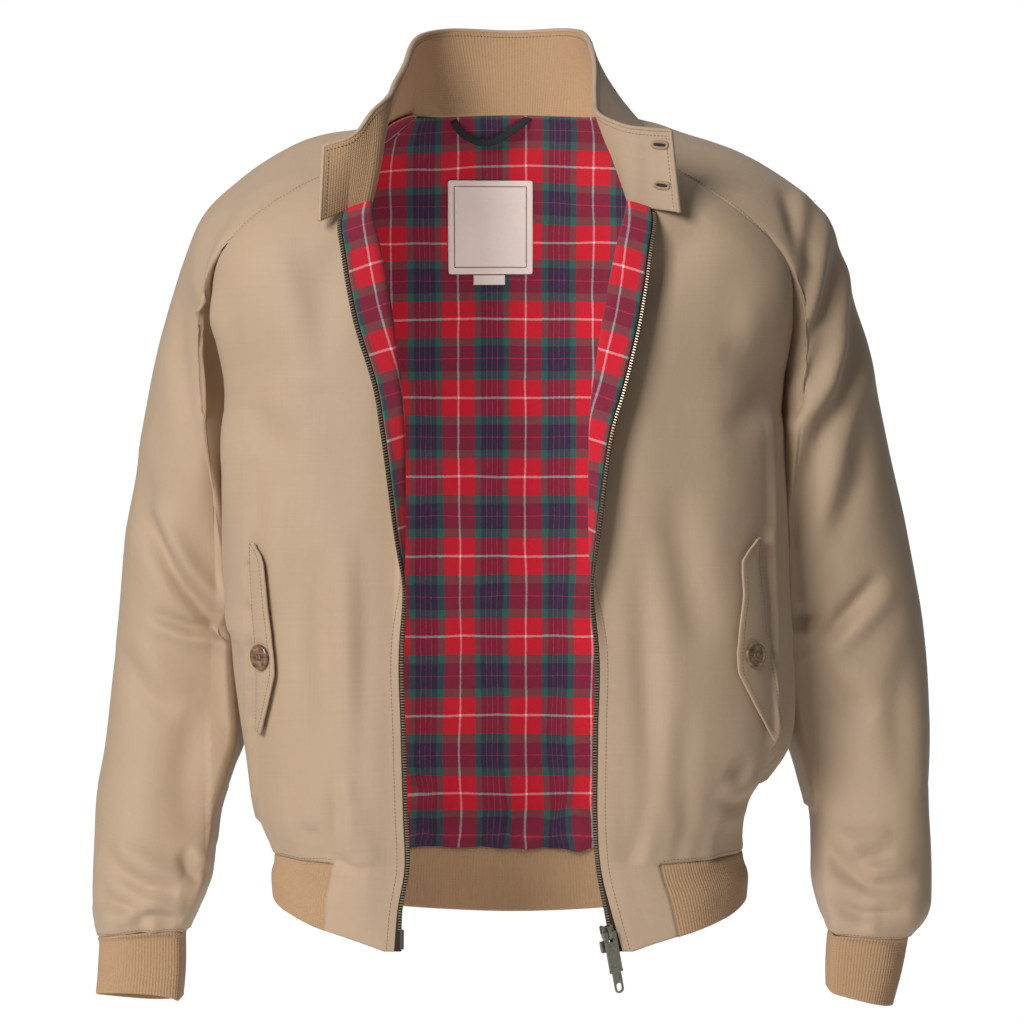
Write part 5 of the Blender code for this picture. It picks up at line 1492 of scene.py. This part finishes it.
def makeSlider():
    s = sliderSpec
    maker = bmesh.new()
    shape = [(-s["waist"] / 2, -s["long"] / 2), (s["waist"] / 2, -s["long"] / 2),
             (s["wide"] / 2, s["long"] * 0.02), (s["wide"] / 2, s["long"] * 0.42),
             (s["wide"] * 0.34, s["long"] / 2), (s["wide"] * 0.12, s["long"] * 0.40),
             (-s["wide"] * 0.12, s["long"] * 0.40), (-s["wide"] * 0.34, s["long"] / 2),
             (-s["wide"] / 2, s["long"] * 0.42), (-s["wide"] / 2, s["long"] * 0.02)]
    top = s["deep"] / 2
    slab(maker, shape, top - s["plate"], top, 0.0004)
    slab(maker, shape, -top, -top + s["plate"], 0.0004)
    # the wedge that joins the two plates, and the side flanges
    slab(maker, roundedOutline(0.0026, 0.0040, 0.0012, (0, s["long"] * 0.22)), -top + 0.0006,
         top - 0.0006, 0.0001)
    for sign in (-1, 1):
        slab(maker, [(sign * x, y) for x, y in ((s["waist"] / 2 - 0.0010, -s["long"] / 2),
                                                (s["waist"] / 2, -s["long"] / 2),
                                                (s["wide"] / 2, s["long"] * 0.02),
                                                (s["wide"] / 2 - 0.0010, s["long"] * 0.02))],
             -top + 0.0005, top - 0.0005, 0.0001)
    # the bridge that holds the pull: an arch swept over the top plate
    arch = []
    reach, rise = s["bridgeLong"] / 2 - s["bridgeThick"] / 2, s["bridgeHigh"] - s["bridgeThick"] / 2
    for step in range(17):
        turn = math.pi * step / 16
        arch.append((reach * math.cos(turn), top - 0.0004 + rise * math.sin(turn) ** 0.55))
    loops = []
    for k, (y, z) in enumerate(arch):
        ring = [maker.verts.new((a, y + b * math.cos(math.pi * k / 16),
                                 z + b * math.sin(math.pi * k / 16)))
                for a, b in roundedOutline(s["bridgeWide"], s["bridgeThick"], 0.0003, steps=2)]
        loops.append([maker.edges.new((ring[m], ring[(m + 1) % len(ring)]))
                      for m in range(len(ring))])
    for first, second in zip(loops, loops[1:]):
        bmesh.ops.bridge_loops(maker, edges=first + second)
    bmesh.ops.holes_fill(maker, edges=loops[0] + loops[-1], sides=0)
    bmesh.ops.recalc_face_normals(maker, faces=maker.faces)
    bmesh.ops.transform(maker, matrix=sliderMatrix, verts=maker.verts)
    return finished("zip_slider", maker, finish["brass"], sharp=32)


declare(makeSlider(), "zip_metal", "slider")
maker = bmesh.new()
slab(maker, roundedOutline(boxSpec["size"][0], boxSpec["size"][1], 0.0008), -boxSpec["size"][2] / 2,
     boxSpec["size"][2] / 2, 0.0004)
bmesh.ops.transform(maker, matrix=Matrix.Translation(boxSpec["centre"]) @ turnedZip,
                    verts=maker.verts)
declare(finished("zip_box_metal", maker, finish["brass"], sharp=32), "zip_metal",
                        "zip_box")


def makePull():
    p = pullSpec
    top, foot = p["bar"] + 0.0004, -p["plateLong"]
    plate = prism("zip_pull", roundedOutline(p["wide"], top - foot, 0.0010,
                                             (0, (top + foot) / 2)), -p["thick"] / 2,
                  p["thick"] / 2, 0.0003)
    slot = prism("slot", roundedOutline(p["slotWide"], p["slotLong"], 0.0008,
                                        (0, -p["bar"] - p["slotLong"] / 2)), -0.01, 0.01)
    panel = prism("panel", roundedOutline(p["wide"] - 0.0030, 0.0190, 0.0012, (0, -0.0185)),
                  p["thick"] / 2 - 0.0003, 0.01)
    cutFrom(plate, [slot, panel])
    end = foot - p["eyeLong"]
    eye = prism("eye", roundedOutline(p["eyeWide"], p["eyeLong"] + 0.002, 0.0036,
                                      (0, (foot + end) / 2 + 0.001)), -p["thick"] * 0.42,
                p["thick"] * 0.42, 0.0003)
    holeAt = end + p["eyeHole"] / 2 + 0.0018
    hole = prism("hole", roundedOutline(p["eyeHole"], p["eyeHole"] * 1.45, 0.0022,
                                        (0, holeAt + 0.0009)), -0.01, 0.01)
    cutFrom(eye, [hole])
    band = prism("band", roundedOutline(p["wide"] + 0.0004, 0.0022, 0.0008, (0, foot + 0.0010)),
                 -p["thick"] * 0.62, p["thick"] * 0.62, 0.0003)
    maker = bmesh.new()
    for part in (plate, eye, band):
        maker.from_mesh(part.data)
        bpy.data.objects.remove(part)
    lift = sliderSpec["deep"] / 2 + (sliderSpec["bridgeHigh"] - sliderSpec["bridgeThick"]) / 2
    bmesh.ops.transform(maker, matrix=sliderMatrix @ Matrix.Translation((0, 0, lift)),
                        verts=maker.verts)
    return finished("zip_pull_plate", maker, finish["brass"], sharp=32)


declare(makePull(), "zip_metal", "pull_tab", body="pull")
print("zip made")

# pocket flaps, buttons, buttonholes

flapTable = {
    "right": ((0.2105, -0.3440, 0.2060, -0.3460), (0.2095, -0.3600, 0.1948, -0.3604),
              (0.2090, -0.3866, 0.1924, -0.3862), (0.2063, -0.4210, 0.1884, -0.4184),
              (0.2045, -0.4520, 0.1852, -0.4498), (0.2045, -0.4975, 0.1975, -0.4985)),
    "left": ((0.1975, -0.3410, 0.1930, -0.3430), (0.1975, -0.3600, 0.1795, -0.3600),
             (0.2010, -0.3880, 0.1803, -0.3880), (0.2040, -0.4190, 0.1765, -0.4180),
             (0.2110, -0.4500, 0.1765, -0.4490), (0.2170, -0.4950, 0.2080, -0.5060)),
}
flapSpec = {"thick": 0.0022, "lift": 0.0011, "stand": 0.0028}
pocketButton = {"right": (0.1965, -0.4360), "left": (0.1893, -0.4350)}
buttonSpec = {"radius": 0.0103, "thick": 0.0032, "rim": 0.0022, "dish": 0.0009, "hole": 0.0010,
              "holeFromCentre": 0.0024}
collarButtonSpec = {"radius": 0.0075, "thick": 0.0026, "rim": 0.0016, "dish": 0.0006,
                    "hole": 0.0008, "holeFromCentre": 0.0019}


def onSurface(tree, x, z, fromY=-1.0, towards=1.0):
    where, way, _, _ = tree.ray_cast(Vector((x, fromY, z)), Vector((0, towards, 0)))
    if way.y * towards > 0:
        way = -way
    return np.array(where), np.array(way)


flapRows = np.linspace(0, 5, 56)
frontTree = {side: surfaceTree(shaped[f"front_{side}"][0]) for side in sides}
for side in sides:
    sign = sides[side]
    table = smoothRows(flapTable[side], flapRows)
    # the corners at the second and the fifth row stay crisp
    crisp = np.array([[np.interp(k, range(6), [row[c] for row in flapTable[side]])
                       for c in range(4)] for k in flapRows])
    blend = np.array([min(1.0, min(abs(k - 1), abs(k - 4)) / 0.5) for k in flapRows])
    table = crisp + (table - crisp) * blend[:, None] * 0.6
    rows, ways = [], []
    for sewnX, sewnZ, freeX, freeZ in table:
        row, out = [], []
        for t in np.linspace(0, 1, 15):
            x, z = sign * (sewnX + (freeX - sewnX) * t), sewnZ + (freeZ - sewnZ) * t
            here, way = onSurface(frontTree[side], x, z)
            row.append(here)
            out.append(way)
        rows.append(row)
        ways.append(out)
    rows, ways = np.array(rows), np.array(ways)
    smoothWay = unit(ways.mean(axis=1, keepdims=True) + 0 * ways)
    t = np.linspace(0, 1, 15)[None, :, None]
    lift = flapSpec["lift"] + flapSpec["thick"] + flapSpec["stand"] * t**0.6
    lift = lift - 0.0016 * np.exp(-((t - 0.10) / 0.05) ** 2)
    points = rows + smoothWay * lift
    points = points if side == "right" else points[:, ::-1]
    points = points[::-1]
    if (unit(rawNormals(points)) * smoothWay[::-1]).sum() < 0:
        points = points[:, ::-1]
    flapPiece = clothMesh(f"pocket_flap_{side}_cloth", points, metresUv(points),
                          flapSpec["thick"], finish["woven"], soften=1)
    declare(flapPiece, "woven_shell", f"pocket_flap_{side}")
    normals = unit(rawNormals(points))
    freeEnd = abs(points[20, -1, 0]) < abs(points[20, 0, 0])
    runs = [beside(points, normals, 0.0045, fromEnd=freeEnd),
            beside(points, normals, 0.0030, fromEnd=not freeEnd)]
    stitchLine(f"pocket_flap_stitches_{side}", runs)


def makeButton(name, spec, matrix):
    # a disc with a raised rim, four holes and two bars of thread
    r, h = spec["radius"], spec["thick"]
    profile = [(0, 0), (r * 0.86, 0), (r * 0.97, h * 0.22), (r, h * 0.5), (r * 0.965, h * 0.86),
               (r * 0.90, h), (r - spec["rim"] * 0.8, h * 0.97), (r - spec["rim"] * 1.1, h - spec["dish"]),
               (0, h - spec["dish"])]
    maker = bmesh.new()
    verts = [maker.verts.new((x, 0, z)) for x, z in profile]
    edges = [maker.edges.new(pair) for pair in zip(verts, verts[1:])]
    bmesh.ops.spin(maker, geom=verts + edges, cent=(0, 0, 0), axis=(0, 0, 1), angle=2 * math.pi,
                   steps=48, use_merge=True)
    bmesh.ops.remove_doubles(maker, verts=maker.verts, dist=1e-6)
    bmesh.ops.recalc_face_normals(maker, faces=maker.faces)
    disc = finished(name, maker, finish["horn"])
    reach = spec["holeFromCentre"] * math.sqrt(0.5)
    drill = bmesh.new()
    for sx in (-1, 1):
        for sy in (-1, 1):
            bmesh.ops.create_cone(drill, cap_ends=True, segments=14, radius1=spec["hole"],
                                  radius2=spec["hole"], depth=0.02,
                                  matrix=Matrix.Translation((sx * reach, sy * reach, 0)))
    cutFrom(disc, [finished("drill", drill, finish["horn"], smooth=False)])
    disc.data.transform(matrix)
    declare(disc, "button_horn")
    threads = []
    for sx in (-1, 1):
        for shift in (-0.25, 0.25):
            place = Matrix.Translation((sx * reach + shift * spec["hole"] * 1.6, 0,
                                        h - spec["dish"] + 0.0002))
            threads.append(matrix @ place @ Matrix.Diagonal((spec["hole"] * 0.75, reach * 2.7,
                                                             0.0008, 1)))
    declare(repeated(name + "_thread", smallBall("strand", 2), threads, "thread"), "woven_shell")
    return disc


def outMatrix(here, out, up=(0, 0, 1)):
    z = Vector(out).normalized()
    x = Vector(up).cross(z).normalized()
    y = z.cross(x)
    return Matrix.Translation(Vector(here)) @ Matrix((x, y, z)).transposed().to_4x4()


for side in sides:
    x, z = pocketButton[side]
    here, way = onSurface(frontTree[side], sides[side] * x, z)
    stand = flapSpec["lift"] + flapSpec["thick"] + flapSpec["stand"] * 0.75 + cloth["layerGap"]
    way = unit(way)
    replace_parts(makeButton(f"pocket_button_{side}_horn", buttonSpec,
                           outMatrix(here + way * stand, way)), f"pocket_button_{side}")

for name, at in (("upper", 0.70), ("lower", 0.36)):
    col = int(np.argmin(abs(collarPlaces - at)))
    row = int(np.argmin(abs(footMarks - 0.5)))
    here, way = collar[row, col], outward["collar"][row, col]
    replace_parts(makeButton(f"collar_button_{name}_horn", collarButtonSpec,
                           outMatrix(here + way * 0.0007, way)), f"collar_button_{name}")

holeSpec = {"long": 0.0120, "wide": 0.0048, "thread": 0.0026, "marks": 36.45, "places": (0.80, 0.30)}
for k, at in enumerate(holeSpec["places"]):
    col = int(np.argmin(abs(collarPlaces - at)))
    row = int(np.argmin(abs(footMarks - holeSpec["marks"])))
    way = -outward["collar"][row, col]
    here = collar[row, col] + way * (liningDepth + cloth["shell"])
    along = unit(collar[row + 2, col] - collar[row - 2, col])
    matrix = frameMatrix(here, along, way)
    ringLine, ringWays = [], []
    count = 40
    for step in range(count + 1):
        turn = 2 * math.pi * step / count
        bulge = 1.0 + 0.35 * max(0.0, math.cos(turn)) ** 3
        x = holeSpec["long"] / 2 * math.copysign(abs(math.cos(turn)) ** 0.6, math.cos(turn))
        y = holeSpec["wide"] / 2 * math.copysign(abs(math.sin(turn)) ** 0.8, math.sin(turn)) * bulge
        ringLine.append(matrix @ Vector((x, y, 0.0002)))
        ringWays.append(matrix.to_3x3() @ Vector((0, 0, 1)))
    edging = sweep(f"buttonhole_{k + 1}", np.array(ringLine), np.array(ringWays),
                   oval(holeSpec["thread"], 0.0022, 8), "buttonhole", closedEnds=False)
    declare(edging, "woven_shell")
    # a thin dark lens laid on the tab: painted shade where the buttonhole's slit opens
    slitShade = bmesh.new()
    bmesh.ops.create_icosphere(slitShade, subdivisions=3, radius=0.5)
    bmesh.ops.transform(slitShade, verts=slitShade.verts, matrix=matrix @ Matrix.Diagonal(
        (holeSpec["long"] * 0.80, holeSpec["wide"] * 0.66, 0.0012, 1)))
    declare(finished(f"buttonhole_slit_shade_{k + 1}", slitShade, finish["slitShade"]), "woven_shell")
print("flaps and buttons made")

# what is sewn on the back lining

labelSpec = {"label": (-0.0556, 0.0182, -0.1144, -0.0350),
             "size_tab": (-0.0335, -0.0060, -0.1235, -0.1150)}
liningTree = surfaceTree(backLining() - outward["back"][upper] * cloth["lining"])


def onLining(x, z):
    return onSurface(liningTree, x, z, fromY=-0.02)


def labelPatch(x0, x1, z0, z1, lift, across, up):
    points = []
    for z in np.linspace(z0, z1, up):
        points.append([onLining(x, z)[0] for x in np.linspace(x0, x1, across)])
    points = np.array(points)
    smoothY = points.copy()
    for _ in range(6):
        smoothY[1:-1, :, 1] = (smoothY[:-2, :, 1] + 2 * smoothY[1:-1, :, 1] + smoothY[2:, :, 1]) / 4
        smoothY[:, 1:-1, 1] = (smoothY[:, :-2, 1] + 2 * smoothY[:, 1:-1, 1] + smoothY[:, 2:, 1]) / 4
    points[..., 1] = smoothY[..., 1]
    ways = unit(rawNormals(points))
    if ways[..., 1].mean() > 0:
        ways = -ways
    return points + ways * lift, ways


for name, (x0, x1, z0, z1) in labelSpec.items():
    lift = 0.0016 if name == "label" else 0.0014
    points, ways = labelPatch(x0, x1, z0, z1, lift, 19, 19)
    if (unit(rawNormals(points)) * ways).sum() < 0:
        points = points[:, ::-1]
    piece = clothMesh(f"{name}_cloth", points, metresUv(points), 0.0009, finish["label"], soften=1)
    declare(piece, "label_cloth", name)

x0, x1, z0, z1 = labelSpec["label"]
inset = 0.0058
corners = ((x0 + inset, z0 + inset), (x1 - inset, z0 + inset), (x1 - inset, z1 - inset),
           (x0 + inset, z1 - inset))
line, ways = [], []
labelTree = surfaceTree(labelPatch(x0, x1, z0, z1, 0.0016, 19, 19)[0])
for (ax, az), (bx, bz) in zip(corners, corners[1:] + corners[:1]):
    for t in np.linspace(0, 1, 14)[:-1]:
        here, way = onSurface(labelTree, ax + (bx - ax) * t, az + (bz - az) * t, fromY=-0.02)
        line.append(here)
        ways.append(way)
line.append(line[0])
ways.append(ways[0])
frameLine = sweep("label_frame", line, ways, oval(0.0008, 0.0004, 6), "labelFrame",
                  closedEnds=False)
declare(frameLine, "label_cloth")

hangerTable = ((-0.0500, 0.0140, 0), (-0.0440, 0.0060, 0.002), (-0.0320, 0.0000, 0.004),
               (-0.0180, 0.0000, 0.005), (-0.0050, 0.0060, 0.004), (0.0070, 0.0130, 0.002),
               (0.0150, 0.0190, 0))
backTree = surfaceTree(shaped["back"][0])
line = []
for x, z, hang in smoothRows(hangerTable, np.linspace(0, 6, 40)):
    here, way = onSurface(backTree, x, min(z, 0.0125), fromY=0.5, towards=-1.0)
    stand = cloth["shell"] + cloth["knit"] + 2 * cloth["layerGap"] + 0.001 + max(hang, 0)
    line.append(here - way * stand + np.array([0, 0, max(0.0, z - 0.0125)]))
line = np.array(line)
hangerWays = np.tile((0.0, -1.0, 0.0), (len(line), 1))
hanger = sweep("hanger_loop_cloth", line, hangerWays,
               roundedOutline(0.0062, 0.0018, 0.0007, steps=3), "hanger")
declare(hanger, "tartan_lining", "hanger_loop")
print("label and loop made")

# floor, light, camera

stage = {"floorZ": -0.86, "floorSize": 0.72, "camera": (0.0, -2.80, -0.321), "lens": 118.65}
made, tree, shader = newMaterial("floorPaint")
grain = noiseOf(tree, mapped(tree, "Object"), 3, 2)
tree.links.new(mixed(tree, (0.90, 0.90, 0.90), (0.94, 0.94, 0.94), grain), shader.inputs["Base Color"])
setUp(shader, Roughness=0.9, Emission_Color=(1, 1, 1, 1), Emission_Strength=0.35)
maker = bmesh.new()
bmesh.ops.create_grid(maker, x_segments=2, y_segments=2, size=stage["floorSize"])
bmesh.ops.translate(maker, verts=maker.verts, vec=(0, 0, stage["floorZ"]))
floor = finished("floor", maker, made, smooth=False)


def areaLight(name, place, target, size, power, colour=(1, 1, 1), tall=None):
    data = bpy.data.lights.new(name, "AREA")
    data.shape = "RECTANGLE"
    data.size, data.size_y, data.energy, data.color = size, tall or size, power, colour
    light = bpy.data.objects.new(name, data)
    light.location = place
    aim = Vector(target) - Vector(place)
    light.rotation_euler = aim.to_track_quat("-Z", "Y").to_euler()
    light.visible_camera = False
    bpy.context.scene.collection.objects.link(light)


areaLight("keyLight", (-1.50, -2.36, 0.84), (0, 0, -0.33), 1.15, 77, (1.0, 0.985, 0.965))
areaLight("sideLight", (-2.5, -1.5, 0.75), (0, 0, -0.35), 1.4, 8, (1.0, 0.985, 0.965))
areaLight("topLight", (-0.3, 0.5, 2.2), (0, 0, -0.2), 1.6, 5)
areaLight("insideLight", (0.020, -0.105, -0.30), (0.012, 0.12, -0.30), 0.09, 0.50, tall=0.50)

world = bpy.data.worlds.new("studio")
bpy.context.scene.world = world
world.use_nodes = True
tree = world.node_tree
sky = tree.nodes["Background"]
setUp(sky, Color=(1, 1, 1, 1), Strength=0.140)
seen = node(tree, "ShaderNodeBackground", Color=(1, 1, 1, 1), Strength=1.05)
shine = node(tree, "ShaderNodeBackground", Strength=0.55)
rays = node(tree, "ShaderNodeLightPath")
glossy, choice = node(tree, "ShaderNodeMixShader"), node(tree, "ShaderNodeMixShader")
for mix, ray, first, second in ((glossy, "Is Glossy Ray", sky, shine),
                                (choice, "Is Camera Ray", glossy, seen)):
    tree.links.new(rays.outputs[ray], mix.inputs[0])
    tree.links.new(first.outputs[0], mix.inputs[1])
    tree.links.new(second.outputs[0], mix.inputs[2])
tree.links.new(choice.outputs[0], tree.nodes["World Output"].inputs[0])

cameraData = bpy.data.cameras.new("camera")
cameraData.lens = stage["lens"]
camera = bpy.data.objects.new("camera", cameraData)
camera.location = stage["camera"]
camera.rotation_euler = (math.pi / 2, 0, 0)
bpy.context.scene.collection.objects.link(camera)
bpy.context.scene.camera = camera
bpy.context.scene.view_settings.view_transform = "Standard"

print("stage set")
